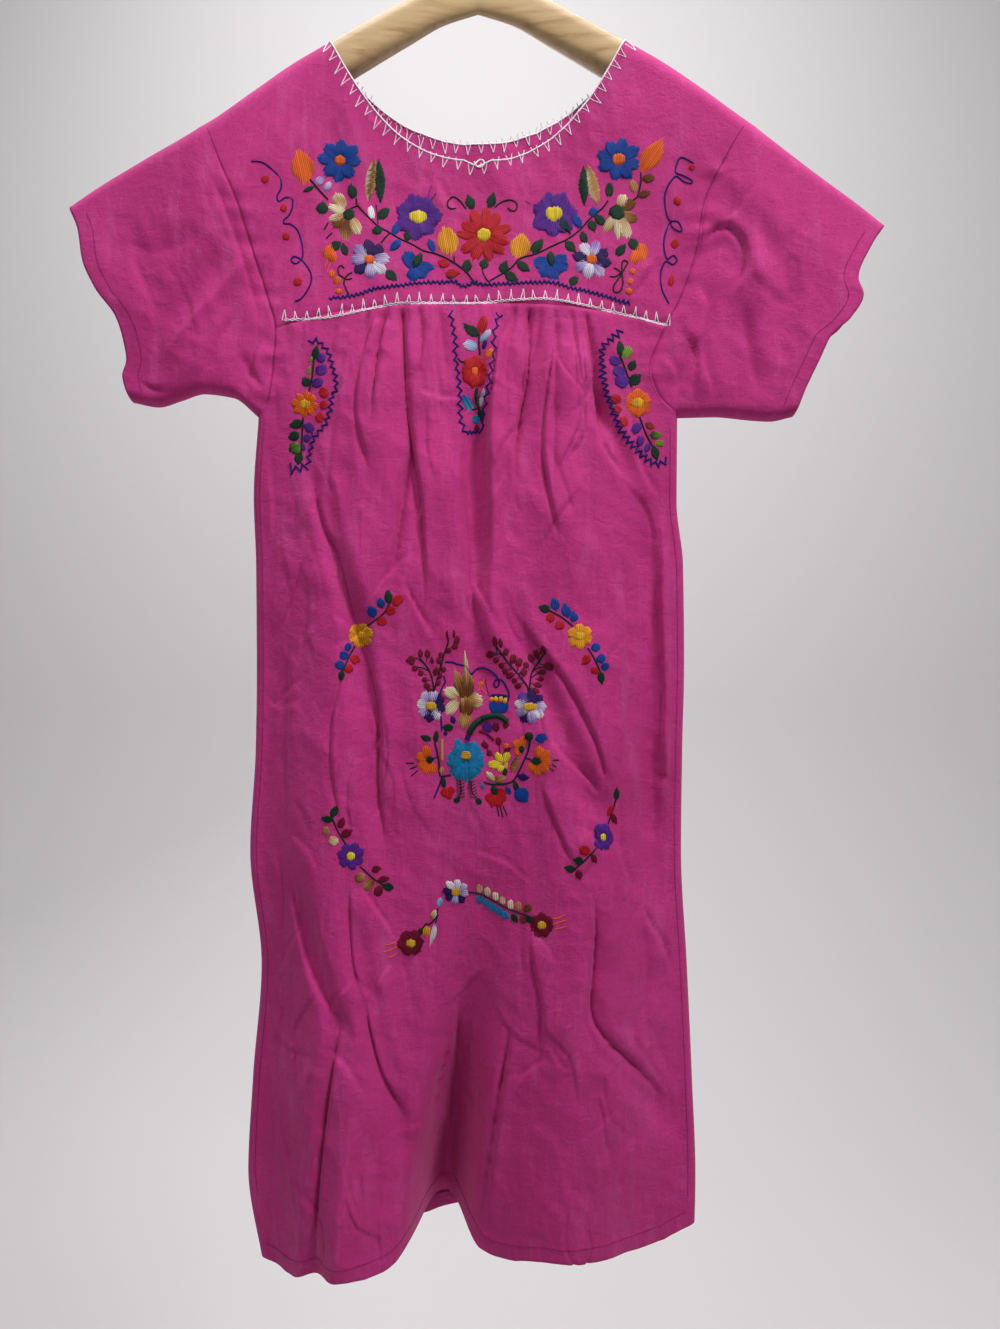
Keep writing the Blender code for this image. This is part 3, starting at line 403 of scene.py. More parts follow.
# Creases: width and depth in tenths of a millimetre (a ridge where depth is negative), the side on
# which the cloth rolls up beside the crease (1 right of its way, -1 left of it, 0 none), and its path,
# x, z, x, z. The front's are photo pixels, read at the depth of the front wall. The back's are
# millimetres.
frontWallDepth = -0.036
frontCreases = [
    (44, 46, -1, 312, 464, 314, 494, 324, 530, 338, 556, 352, 609, 363, 655),
    (34, 46, -1, 356, 634, 369, 668, 378, 706, 380, 742, 379, 786, 387, 856),
    (26, 34, 1, 402, 576, 413, 600, 437, 642),
    (48, 28, -1, 284, 624, 284, 700, 283, 790, 287, 860),
    (34, 30, -1, 343, 678, 334, 716, 333, 764, 343, 832),
    (34, 50, 1, 582, 316, 591, 352, 597, 398, 606, 444, 634, 484),
    (36, 22, -1, 597, 400, 603, 440, 622, 470),
    (42, 26, 1, 640, 400, 636, 432, 648, 470, 668, 500),
    (36, 56, -1, 671, 534, 662, 572, 662, 622, 666, 700, 665, 756, 668, 820),
    (44, 30, 1, 618, 548, 627, 600, 628, 700, 624, 790),
    (38, 24, 1, 470, 574, 488, 606, 505, 643),
    (40, 40, -1, 510, 606, 536, 644, 562, 678, 586, 722, 602, 766, 606, 812),
    (26, 36, -1, 538, 778, 553, 818, 573, 864),
    (30, 42, 1, 288, 880, 298, 922, 312, 964, 342, 1020),
    (30, 44, -1, 366, 990, 373, 1034, 385, 1078, 409, 1122),
    (38, 62, -1, 345, 1000, 337, 1058, 328, 1124, 321, 1190, 315, 1276),
    (40, 16, 1, 275, 968, 279, 1012, 277, 1052),
    (36, -14, 0, 308, 1050, 306, 1095, 309, 1138),
    (36, 60, 1, 460, 990, 457, 1034, 453, 1084, 449, 1134, 446, 1200),
    (40, 70, -1, 513, 1010, 507, 1052, 498, 1110, 488, 1176, 479, 1246),
    (26, 62, 1, 450, 1036, 442, 1074, 433, 1112, 428, 1170),
    (32, 52, 1, 587, 874, 594, 912, 592, 962, 589, 1004, 602, 1032, 642, 1078, 681, 1124),
    (24, 30, 1, 362, 880, 376, 902, 395, 934),
    (22, 24, 1, 626, 1030, 648, 1062, 680, 1116),
    (60, 16, -1, 640, 900, 650, 975, 646, 1050),
    (50, 20, -1, 388, 1160, 380, 1210, 384, 1268),
    (55, 16, 1, 600, 1120, 612, 1170, 610, 1238),
    (45, 14, -1, 300, 560, 306, 610, 300, 668),
    (34, 50, 1, 461, 428, 463, 490, 466, 556, 466, 626),
    (40, -20, 0, 491, 430, 495, 520, 492, 600, 500, 668),
    (24, 48, -1, 400, 304, 403, 350, 405, 402, 411, 448, 419, 494, 424, 556, 425, 612),
    (28, 42, 1, 410, 434, 404, 486, 391, 584),
    (20, 36, -1, 387, 304, 377, 342, 373, 384, 371, 422),
    (18, 32, -1, 373, 308, 365, 334, 360, 354),
    (18, 30, 1, 420, 304, 420, 344, 417, 378),
    (30, 44, -1, 519, 304, 500, 332, 492, 384, 486, 430, 486, 500, 490, 556),
    (24, 48, 1, 531, 304, 528, 374, 517, 430, 514, 494),
    (20, 18, 1, 541, 316, 534, 350, 527, 384),
    (22, 34, -1, 557, 304, 552, 360, 543, 432, 547, 482, 558, 540),
    (22, 22, 1, 572, 310, 580, 365, 582, 412, 569, 448, 549, 483),
    (55, 16, -1, 348, 330, 338, 372, 332, 420, 326, 470),
    (45, 16, 1, 262, 440, 270, 500, 266, 560),
    (24, 18, 1, 436, 308, 434, 352, 438, 400, 430, 452),
    (20, 22, -1, 383, 308, 377, 336, 372, 352),
    (28, 32, -1, 470, 572, 474, 604, 482, 634, 492, 664),
    (34, 34, -1, 361, 346, 354, 396, 358, 432, 371, 476),
    (24, 26, 1, 580, 308, 585, 368, 584, 432, 572, 452, 559, 474),
    (28, 26, -1, 540, 442, 546, 476, 552, 508, 559, 539),
    (30, 36, -1, 352, 876, 353, 930, 357, 968, 369, 1006),
    (60, 24, 0, 442, 806, 440, 880, 435, 960, 432, 1040),
    (32, 26, 1, 304, 548, 288, 596, 267, 642),
    (30, 40, -1, 529, 926, 533, 966, 541, 1004, 539, 1048),
    (26, 30, 1, 549, 733, 566, 757, 586, 776, 602, 798),
    (32, 42, 1, 642, 896, 650, 922, 668, 950, 676, 984),
    (30, 28, 1, 619, 790, 621, 848, 632, 882, 642, 906),
    (40, 22, 1, 272, 846, 280, 900, 276, 950),
    (30, 14, 1, 258, 700, 276, 706, 300, 702),
    (30, 14, -1, 262, 1040, 290, 1052, 318, 1046),
    (34, 22, 1, 330, 1040, 352, 1056, 372, 1092),
    (18, 13, 1, 477, 165, 476, 182, 478, 202),
    (40, 12, 1, 432, 158, 446, 182, 462, 204),
    (28, 18, 1, 662, 252, 648, 270, 632, 292),
    (50, 12, -1, 690, 205, 664, 226, 650, 262),
    (75, 10, 1, 262, 150, 290, 196, 300, 250),
    (50, 18, 1, 210, 170, 226, 214, 242, 262, 256, 320),
    (48, 24, 1, 236, 300, 214, 340, 196, 388),
    (42, 26, -1, 258, 330, 246, 366, 240, 398),
    (60, 12, -1, 160, 250, 186, 300, 196, 345),
    (70, 12, 1, 120, 236, 150, 300, 158, 372),
    (46, 38, -1, 700, 246, 712, 228, 730, 224, 744, 242, 745, 268, 726, 296),
    (110, 20, -1, 746, 266, 768, 290, 800, 304),
    (120, 50, 0, 744, 296, 752, 344, 766, 402),
    (110, 30, 0, 706, 250, 724, 240, 737, 252, 734, 276),
    (110, 50, 0, 704, 326, 690, 360, 672, 392),
    (130, -56, 0, 264, 236, 212, 296, 154, 364),
    (160, 26, 0, 116, 240, 158, 250, 206, 232),
    (34, 34, -1, 130, 372, 150, 386, 198, 392, 240, 397),
    (80, 40, 0, 264, 388, 246, 368, 236, 346),
    (46, 30, 1, 694, 270, 712, 300, 706, 348, 720, 398),
    (36, 26, -1, 682, 318, 700, 352, 694, 400),
    (32, 20, 1, 664, 345, 682, 372, 676, 404),
    (65, 14, 1, 800, 214, 786, 262, 796, 316),
    (60, 12, -1, 760, 170, 748, 196, 722, 222),
]
backCreases = [
    (52, 30, 1, -150, -500, -132, -590, -112, -700),
    (50, 30, -1, 140, -520, 128, -600, 108, -690),
    (50, 30, -1, -60, -560, -52, -700, -66, -840, -58, -960),
    (48, 28, 1, 48, -600, 62, -730, 56, -880),
    (44, 24, 1, 10, -760, 30, -840, 60, -930),
    (50, 20, 1, -160, -800, -150, -900, -158, -1010),
    (50, 22, -1, 150, -760, 142, -880, 152, -980),
    (52, 34, -1, -110, -930, -94, -1030, -100, -1180),
    (52, 34, 1, 112, -960, 96, -1060, 104, -1180),
    (50, 26, 1, -20, -980, -10, -1080, -18, -1180),
    (46, 24, -1, 30, -1020, 40, -1110, 34, -1185),
    (50, 20, -1, -170, -1060, -150, -1140),
    (26, 28, -1, -64, -375, -68, -460, -78, -560),
    (26, 28, 1, 50, -375, 54, -470, 48, -580),
    (60, 14, 1, -150, -250, -120, -300, -70, -340),
    (60, 16, -1, 160, -260, 130, -310, 100, -350),
    (60, 12, 1, -20, -240, 10, -300, 4, -350),
    (50, 28, 1, -214, -300, -236, -350, -246, -430),
    (60, 16, -1, -270, -290, -286, -350, -280, -420),
    (50, 28, -1, 208, -290, 226, -350, 222, -440),
    (60, 18, 1, 262, -290, 270, -360, 256, -440),
    (36, 20, 1, 186, -380, 196, -420, 190, -455),
    (36, 20, -1, -190, -390, -202, -420, -198, -445),
]
creases = {
    "step": 0.012,
    "reach": 12,
    "fade": 0.28,
    "widen": (0.75, 0.5),
    "valley": 0.7,
    "floor": 0.7,
    "rise": 0.45,
    "lip": 0.9,
    "flank": 6.0,
    "narrow": {"front": 0.75, "back": 0.85},
    "deepen": {"front": 1.15, "back": 1.1},
    "fine": {"count": 130, "seed": 19, "length": (0.025, 0.085), "width": (0.0014, 0.003),
             "depth": (0.0008, 0.002), "lean": 0.45, "bend": 0.16, "x": 0.175, "z": (-1.17, -0.4)},
}
creasePaths = {front: [], back: []}


def fineCreases(face):
    # short slight creases of the worn cotton, mostly down the dress
    fine = creases["fine"]
    chance = np.random.default_rng(fine["seed"] + face)
    for _ in range(fine["count"]):
        middle = np.array((chance.uniform(-fine["x"], fine["x"]), chance.uniform(*fine["z"])))
        turn, length = chance.normal(0, fine["lean"]), chance.uniform(*fine["length"])
        run = 0.5 * length * np.array((math.sin(turn), math.cos(turn)))
        bend = chance.uniform(-fine["bend"], fine["bend"]) * length
        bend = bend * np.array((math.cos(turn), -math.sin(turn)))
        width, depth = chance.uniform(*fine["width"]), chance.uniform(*fine["depth"])
        yield [middle - run, middle + bend, middle + run], width, depth, chance.choice((-1, 1))


for face, rows in ((front, frontCreases), (back, backCreases)):
    key = faceName[face]
    for width, depth, lip, *path in rows:
        path = np.reshape(path, (-1, 2))
        path = atDepth(path, frontWallDepth) if face == front else path / 1000
        width, depth = width / 10000 * creases["narrow"][key], depth / 10000 * creases["deepen"][key]
        creasePaths[face].append((smoothPath(path, creases["step"]), width, depth, lip))
    for path, width, depth, lip in fineCreases(face):
        creasePaths[face].append((smoothPath(path, creases["step"]), width, depth, lip))


def creaseRelief(paths, x, z):
    relief = np.zeros(np.shape(x))
    for points, width, depth, lip in paths:
        reach = creases["reach"] * width
        low, high = points.min(axis=0) - reach, points.max(axis=0) + reach
        near = (x > low[0]) & (x < high[0]) & (z > low[1]) & (z < high[1])
        if not near.any():
            continue
        px, pz = x[near], z[near]
        best = np.full(px.shape, 1.0)
        signed, place = np.zeros(px.shape), np.zeros(px.shape)
        runs = np.diff(points, axis=0)
        lengths = np.hypot(runs[:, 0], runs[:, 1])
        whole, passed = lengths.sum(), 0.0
        for start, run, length in zip(points, runs, lengths):
            dx, dz = px - start[0], pz - start[1]
            share = np.clip((dx * run[0] + dz * run[1]) / length**2, 0, 1)
            distance = np.hypot(dx - run[0] * share, dz - run[1] * share)
            nearer = distance < best
            way = np.sign(dx * run[1] - dz * run[0])
            best = np.where(nearer, distance, best)
            signed = np.where(nearer, distance * way, signed)
            place = np.where(nearer, passed + share * length, place)
            passed += length
        fade = creases["fade"] * whole
        strength = ease(place, 0.0, fade) * (1 - ease(place, whole - fade, whole))
        wide = width * (creases["widen"][0] + creases["widen"][1] * place / whole)
        shape = -creases["floor"] * np.exp(-np.abs(signed) / (creases["valley"] * wide))
        if lip:
            onLip = np.maximum(signed * lip, 0.0)
            rise = 1 - np.exp(-onLip / (creases["rise"] * wide))
            shape = shape + creases["lip"] * (rise * np.exp(-onLip / (creases["flank"] * wide)))
        relief[near] += depth * strength * shape
    return relief


# Small crumples all over: smooth noise, longer down the dress than across it
crumple = {
    "seed": 7,
    "layers": [(0.046, 0.12, 0.0013), (0.021, 0.058, 0.001), (0.0105, 0.024, 0.00055)],
    "ridged": 0.62,
    "ridgeDrop": 2.4,
    "lean": 0.12,
}
noiseGrid = (96, 88)  # cells after which the noise repeats


def latticeNoise(x, z, cellX, cellZ, seed):
    wide, high = noiseGrid
    values = np.random.default_rng(seed).uniform(-1, 1, (wide + 1, high + 1))
    u, v = x / cellX + 40.0, z / cellZ + 60.0
    i, j = np.floor(u).astype(int), np.floor(v).astype(int)
    a, b = u - i, v - j
    a, b = a**3 * (a * (6 * a - 15) + 10), b**3 * (b * (6 * b - 15) + 10)
    i, j = i % wide, j % high
    i1, j1 = (i + 1) % wide, (j + 1) % high
    first = values[i, j] * (1 - a) + values[i1, j] * a
    second = values[i, j1] * (1 - a) + values[i1, j1] * a
    return first * (1 - b) + second * b


def crumpleRelief(x, z, face):
    relief = np.zeros(np.shape(x))
    lean = x + crumple["lean"] * z
    for layer, (cellX, cellZ, height) in enumerate(crumple["layers"]):
        seed = crumple["seed"] + 10 * layer + face
        soft = latticeNoise(lean, z - 0.3 * x, cellX, cellZ, seed)
        sharp = latticeNoise(lean, z + 0.5 * x, cellX * 1.2, cellZ * 0.8, seed + 3)
        sharp = 1 - crumple["ridgeDrop"] * np.abs(sharp)
        relief += height * (soft * (1 - crumple["ridged"]) + sharp * crumple["ridged"])
    return relief


# What sewing does to the cloth beside a seam
seamFinish = {
    "groove": 0.0011,
    "grooveWidth": 0.0013,
    "slopeShare": 0.92,
    "armholeFade": (-0.004, 0.012),
    "yokeFade": (-0.001, 0.003),
    "armholePucker": 0.0014,
    "puckerReach": 0.012,
    "yokePucker": 0.00084,
    "puckerFades": ((0.0, 0.003), (0.006, 0.024)),
    "puckerPitch": 0.0085,
    "hemHeight": 0.014,
    "hemStep": 0.0005,
    "hemFade": 0.001,
}


def seamRelief(x, z, face):
    sew = seamFinish
    armholeX = bySide(x, armholeCurve[left](z), armholeCurve[right](z))
    fromArmhole = np.abs(np.abs(x) - armholeX) * sew["slopeShare"]
    level = bySide(x, underarmPlace[left][1], underarmPlace[right][1])
    onArmhole = ease(z, level + sew["armholeFade"][0], level + sew["armholeFade"][1])
    below = yokeSeam(x) - z
    onYoke = ease(armholeX - np.abs(x), *sew["yokeFade"])
    relief = -sew["groove"] * np.exp(-((fromArmhole / sew["grooveWidth"]) ** 2)) * onArmhole
    relief -= sew["groove"] * np.exp(-((below / sew["grooveWidth"]) ** 2)) * onYoke
    wave = latticeNoise(z, x * 0.2, sew["puckerPitch"], 0.05, 31 + face)
    beside = np.exp(-((fromArmhole / sew["puckerReach"]) ** 2)) * onArmhole
    relief += sew["armholePucker"] * wave * beside
    wave = latticeNoise(x, z * 0.15, 0.6 * sew["puckerPitch"], 0.05, 41 + face)
    rise, fall = sew["puckerFades"]
    relief += sew["yokePucker"] * wave * (ease(below, *rise) * (1 - ease(below, *fall)) * onYoke)
    aboveHem = z - hemCurve[face](x)
    hem, fade = sew["hemHeight"], sew["hemFade"]
    relief += sew["hemStep"] * (1 - ease(aboveHem, hem - fade, hem + fade))
    return relief


def clothDepth(x, z, face):
    # how far back a wall of the dress lies, at places (x, z) of its outline
    x, z = np.asarray(x, float), np.asarray(z, float)
    name = faceName[face]
    topShare = np.maximum(topLine(x) - z, 0.0) * outline["slopeCos"] / topRounding(x)
    edge = sideDistance(x, z)
    edgeRound = rounded(edge / outline["sideRound"])
    off = np.abs(x)
    shoulder, body = depthCurve["shoulder"](off), depthCurve["body"](off)
    depth = shoulder + (body - shoulder) * ease(topLine(x) - z, *outline["depthEnds"])
    opened = depth * rounded(topShare) * edgeRound
    opened = opened + outline["slitOpen"] * ease(z, *outline["slitReach"]) * (1 - edgeRound)
    bodyTop = bodyTable["z"][0]
    above = bodyTable[name][0] * ease(z, outline["bulgeStart"], bodyTop)
    bulge = np.where(z < bodyTop, bodyCurve[name](z), above)
    reach = bodyEdge(x, np.minimum(z, bodyTop)) - off
    relief = bulge * ease(reach, 0.0, outline["bulgeReach"])
    relief = relief + foldRelief(mainFolds[name], x, z) + gatherRelief(gathers[name], x, z)
    relief = relief + creaseRelief(creasePaths[face], x, z) + crumpleRelief(x, z, face)
    relief = relief + seamRelief(x, z, face)
    fade = ease(edge, 0.0, outline["sideFade"])
    fade = fade * ease((topLine(x) - z) * outline["slopeCos"], *outline["shoulderFade"])
    forward = outline["contourForward"] * np.minimum(off / outline["contourReach"], 1.0) ** 2
    middle = -forward * (1 - ease(z, *outline["contourFade"]))
    return middle + face * (opened + relief * fade)


def wallPoints(x, z, face, lift=0.0):
    # points on a wall, lifted off it along its outward direction
    x, z = np.asarray(x, float), np.asarray(z, float)
    step = 0.0012  # how far apart the wall is read to find its slope
    points = together(x, clothDepth(x, z, face), z)
    if np.ndim(lift) or lift:
        slopeX = (clothDepth(x + step, z, face) - clothDepth(x - step, z, face)) / (2 * step)
        slopeZ = (clothDepth(x, z + step, face) - clothDepth(x, z - step, face)) / (2 * step)
        normal = face * together(-slopeX, np.ones(x.shape), -slopeZ)
        normal /= np.linalg.norm(normal, axis=-1, keepdims=True)
        points = points + normal * np.asarray(lift)[..., None]
    return points


def onWall(pixels, face):
    # the places (x, z) of a wall that the photograph shows at these pixels
    pixels = np.array(pixels, float)
    y = np.full(pixels.shape[:-1], frontWallDepth if face == front else 0.0)
    for _ in range(5):
        places = atDepth(pixels, y)
        y = 0.5 * y + 0.5 * clothDepth(places[..., 0], places[..., 1], face)
    return places


def toPixels(x, z, face):
    # the photo pixels at which places (x, z) of a wall lie
    pixelsPerMetre = photoCamera["focalPixels"] / (clothDepth(x, z, face) - photoCamera["place"][1])
    column = photoCamera["middlePixel"][0] + (x - photoCamera["place"][0]) * pixelsPerMetre
    row = photoCamera["middlePixel"][1] + (photoCamera["place"][2] - z) * pixelsPerMetre
    return together(column, row)


# Shader maths: a wrapped socket, so that expressions add Math nodes
class Tone:
    def __init__(self, finish, socket):
        self.finish = finish
        self.socket = socket

    def maths(self, operation, *values):
        return self.finish.node("ShaderNodeMath", {"operation": operation}, dict(enumerate(values)))

    def __add__(self, other):
        return self.maths("ADD", self, other)

    def __mul__(self, other):
        return self.maths("MULTIPLY", self, other)

    def __sub__(self, other):
        return self.maths("SUBTRACT", self, other)

    def __rsub__(self, other):
        return self.maths("SUBTRACT", other, self)

    def sine(self):
        return self.maths("SINE", self)

    __radd__ = __add__
    __rmul__ = __mul__


class Finish:
    def __init__(self, name, fixed):
        self.material = bpy.data.materials.new(name)
        self.material.use_nodes = True
        self.tree = self.material.node_tree
        self.shader = self.tree.nodes["Principled BSDF"]
        for socket, value in fixed.items():
            self.shader.inputs[socket].default_value = value

    def node(self, kind, settings=None, inputs=None, output=0):
        made = self.tree.nodes.new(kind)
        for name, value in (settings or {}).items():
            if name == "stops":
                ramp = made.color_ramp.elements
                while len(ramp) < len(value):
                    ramp.new(0.5)
                for stop, (place, colour) in zip(ramp, value):
                    stop.position = place
                    stop.color = (*colour, 1.0)
            else:
                setattr(made, name, value)
        for name, value in (inputs or {}).items():
            self.feed(made.inputs[name], value)
        return Tone(self, made.outputs[output])

    def feed(self, socket, value):
        if isinstance(value, Tone):
            self.tree.links.new(value.socket, socket)
        else:
            socket.default_value = value

    def mix(self, share, first, second):
        # a colour mix: sockets 6 and 7 are the colours
        return self.node("ShaderNodeMix", {"data_type": "RGBA"}, {0: share, 6: first, 7: second}, output=2)

    def ranged(self, value, low, high, least=0.0, most=1.0):
        # low to high becomes least to most, and no further
        return self.node("ShaderNodeMapRange", {}, {0: value, 1: low, 2: high, 3: least, 4: most})

    def parts(self, vector):
        split = self.node("ShaderNodeSeparateXYZ", {}, {0: vector}).socket.node
        return [Tone(self, output) for output in split.outputs]

    def noise(self, place, scale, detail=3.0, roughness=0.55, distortion=0.0):
        return self.node("ShaderNodeTexNoise", {}, {"Vector": place, "Scale": scale, "Detail": detail,
                                                    "Roughness": roughness, "Distortion": distortion})

    def stretched(self, place, scale):
        return self.node("ShaderNodeMapping", {}, {"Vector": place, "Scale": scale})

    def grain(self, place, scale, *detail):
        # noise drawn out by the scale
        return self.noise(self.stretched(place, scale), 1.0, *detail)

    def uv(self, name):
        return self.node("ShaderNodeUVMap", {"uv_map": name})

    def places(self):
        return self.node("ShaderNodeTexCoord", {}, {}, output=3)

    def bump(self, height, strength, distance):
        inputs = {"Height": height, "Strength": strength, "Distance": distance}
        self.feed(self.shader.inputs["Normal"], self.node("ShaderNodeBump", {}, inputs))

    def set(self, **links):
        for name, value in links.items():
            self.feed(self.shader.inputs[name.replace("_", " ")], value)


def linear(red, green, blue):
    # a colour seen on screen, 0 to 255, as the light values that shaders take
    parts = [channel / 255.0 for channel in (red, green, blue)]
    return tuple(c / 12.92 if c <= 0.04045 else ((c + 0.055) / 1.055) ** 2.4 for c in parts)


cotton = {
    "colour": linear(198, 54, 132),
    "worn": linear(206, 90, 156),
    "deep": linear(182, 42, 116),
    "slub": linear(158, 32, 98),
    "threadPitch": 0.00055,
    "crumpleLevels": (-0.3, -0.65),  # the heights between which the crumples grow
    "bumpHeight": 0.0012,
}


def cottonFinish(name):
    finish = Finish(name, {"Roughness": 0.82, "Sheen Weight": 0.13, "Sheen Roughness": 0.4,
                           "Sheen Tint": (1.0, 0.62, 0.82, 1.0), "Specular IOR Level": 0.25})
    place, weave = finish.places(), finish.uv("cloth")
    cloudy = finish.noise(place, 9.0, 4.0, 0.6)
    worn = finish.grain(place, (60.0, 60.0, 14.0), 5.0, 0.65)
    tone = finish.mix(finish.ranged(cloudy, 0.32, 0.68), (*cotton["deep"], 1.0), (*cotton["colour"], 1.0))
    tone = finish.mix(finish.ranged(worn, 0.52, 0.82, most=0.55), tone, (*cotton["worn"], 1.0))
    warp = finish.grain(weave, (900.0, 60.0, 1.0), 3.0, 0.7)
    weft = finish.grain(weave, (60.0, 900.0, 1.0), 3.0, 0.7)
    slubs = warp + weft
    tone = finish.mix(finish.ranged(slubs, 0.8, 1.2, most=0.45), tone, (*cotton["slub"], 1.0))
    across, down, _ = finish.parts(weave)
    turn = math.pi / cotton["threadPitch"]
    threads = (across * turn).sine() * (down * turn).sine()
    small = finish.noise(finish.stretched(place, (0.75, 0.75, 1.0)), 105.0, 5.0, 0.62, 0.8)
    fine = finish.noise(place, 420.0, 3.0, 0.6, 0.3)
    ridges = (finish.noise(place, 34.0, 5.0, 0.58, 1.0) - 0.5).maths("ABSOLUTE")
    low = finish.ranged(finish.parts(place)[2], *cotton["crumpleLevels"], 0.35, 1.0)
    height = threads * 0.07 + slubs * 0.26 + small * (0.7 + 0.8 * low) + ridges * low * 8.0 + fine * 0.3
    finish.bump(height, 0.75, cotton["bumpHeight"])
    finish.set(Base_Color=tone, Roughness=0.74 + 0.16 * cloudy)
    return finish.material


def placed(name, data):
    # an object of its own in the scene
    made = bpy.data.objects.new(name, data)
    bpy.context.collection.objects.link(made)
    return made


def meshPiece(name, shape, finish):
    # the shape as an object of its own
    for face in shape.faces:
        face.smooth = True
    mesh = bpy.data.meshes.new(name)
    shape.to_mesh(mesh)
    shape.free()
    mesh.materials.append(finish)
    return placed(name, mesh)


def standFor(piece, node):
    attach(piece, "root")
    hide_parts(node)
    return piece


def gridPlaces(verts, rows, columns):
    # row and column of each corner of a created grid, rows from its low side
    return {vert: (round((vert.co.y + 1) * 0.5 * (rows - 1)), round((vert.co.x + 1) * 0.5 * (columns - 1)))
            for vert in verts}


def rowsToMesh(name, points, finish, closed=False, faceWay=None):
    # a cloth grid: points is rows x columns x 3, rows run down the cloth
    rows, columns = points.shape[:2]
    if closed:
        points = np.concatenate((points, points[:, :1]), axis=1)
        columns += 1
    across = np.linalg.norm(np.diff(points, axis=1), axis=2)
    down = np.linalg.norm(np.diff(points, axis=0), axis=2)
    u = np.concatenate((np.zeros((rows, 1)), np.cumsum(across, axis=1)), axis=1)
    v = np.concatenate((np.zeros((1, columns)), np.cumsum(down, axis=0)), axis=0)
    u = u - u[:, columns // 2 : columns // 2 + 1]
    shape = bmesh.new()
    bmesh.ops.create_grid(shape, x_segments=columns - 1, y_segments=rows - 1, size=1.0)
    layer = shape.loops.layers.uv.new("cloth")
    spots = gridPlaces(shape.verts, rows, columns)
    for face in shape.faces:
        for loop in face.loops:
            i, j = spots[loop.vert]
            loop[layer].uv = (u[-1 - i, j], -v[-1 - i, j])
    for vert, (i, j) in spots.items():
        vert.co = points[-1 - i, j]
    if closed:
        bmesh.ops.remove_doubles(shape, verts=shape.verts, dist=0.00001)
        bmesh.ops.recalc_face_normals(shape, faces=shape.faces)
    shape.normal_update()
    if faceWay is not None:
        facing = sum(face.normal.dot(Vector(faceWay)) * face.calc_area() for face in shape.faces)
        if facing < 0:
            bmesh.ops.reverse_faces(shape, faces=shape.faces)
    area = sum(face.calc_area() for face in shape.faces)
    piece = meshPiece(name, shape, finish)
    print(name, len(piece.data.polygons), "faces, area", round(area, 4))
    return piece


def tube(name, middle, swell, finish):
    # a round piece along a path that keeps across the y axis. swell: its radius, rows x places round it
    way = np.gradient(middle, axis=0)
    way /= np.linalg.norm(way, axis=1)[:, None]
    aside = np.cross(way, (0.0, 1.0, 0.0))
    aside /= np.linalg.norm(aside, axis=1)[:, None]
    forward = np.cross(aside, way)
    turn = np.linspace(0, 2 * np.pi, swell.shape[1], endpoint=False)
    ring = np.cos(turn)[None, :, None] * aside[:, None] + np.sin(turn)[None, :, None] * forward[:, None]
    return rowsToMesh(name, middle[:, None] + ring * swell[..., None], finish, closed=True)


def patchPlaces(top, bottom, start, end, across, down):
    # places inside four edges, each a function of its share: (x, z) on a grid of shares
    topRow, bottomRow = top(across), bottom(across)
    a, d = across[None, :, None], down[:, None, None]
    sides = start(down)[:, None] * (1 - a) + end(down)[:, None] * a
    ends = topRow[None] * (1 - d) + bottomRow[None] * d
    corners = (topRow[0] * (1 - a) + topRow[-1] * a) * (1 - d)
    corners = corners + (bottomRow[0] * (1 - a) + bottomRow[-1] * a) * d
    return sides + ends - corners


def steps(*stops):
    # shares from 0: (end, count) pairs, or (end, count, "soft") for steps that start small
    shares = [0.0]
    for stop in stops:
        start, end, count = shares[-1], stop[0], stop[1]
        for step in range(1, count + 1):
            share = step / count
            if len(stop) > 2:
                share = share**2 if stop[2] == "soft" else 1 - (1 - share) ** 2
            shares.append(start + (end - start) * share)
    return np.array(shares)


def seamEnd(side):
    z = outline["seamMiddle"] - outline["seamFall"]
    for _ in range(12):
        z = float(yokeSeam(armholeCurve[side](z)))
    return z


def sidePlaces(side, curve, start, end, share):
    # places (x, z) on one of the sides' curves, at shares of the way from start to end
    z = start + (end - start) * share
    return together(side * curve[side](z), z)


def yokeEdge(side):
    return lambda share: sidePlaces(side, armholeCurve, armholeTop[side], seamEnd(side), share)


def lowerArmhole(side, share):
    return sidePlaces(side, armholeCurve, seamEnd(side), underarmPlace[side][1], share)


yokeCut = {"shoulderColumns": 26, "neckColumns": 132,
           "rows": ((0.105, 16, "soft"), (0.28, 14), (1.0, 50))}


def yokePiece(name, face, node, finish):
    reach = outline["neckHalfWidth"]
    start, end = yokeEdge(left)(0.0)[0], yokeEdge(right)(0.0)[0]
    side, middle = yokeCut["shoulderColumns"], yokeCut["neckColumns"]
    xs = np.concatenate((
        start + (-reach - start) * np.linspace(0, 1, side, endpoint=False),
        -reach * np.cos(np.pi * np.linspace(0, 1, middle, endpoint=False)),
        reach + (end - reach) * np.linspace(0, 1, side + 1),
    ))
    zs = np.where(np.abs(xs) < reach, neckLine(xs, face), topLine(xs))
    across = np.linspace(0, 1, len(xs))
    down = steps(*yokeCut["rows"])

    def bottom(share):
        first, last = yokeEdge(left)(1.0)[0], yokeEdge(right)(1.0)[0]
        x = first + (last - first) * share
        return together(x, yokeSeam(x))

    def top(share):
        return together(xs, zs)

    places = patchPlaces(top, bottom, yokeEdge(left), yokeEdge(right), across, down)
    points = wallPoints(places[..., 0], places[..., 1], face)
    return standFor(rowsToMesh(name, points, finish, faceWay=(0, face, 0)), node)


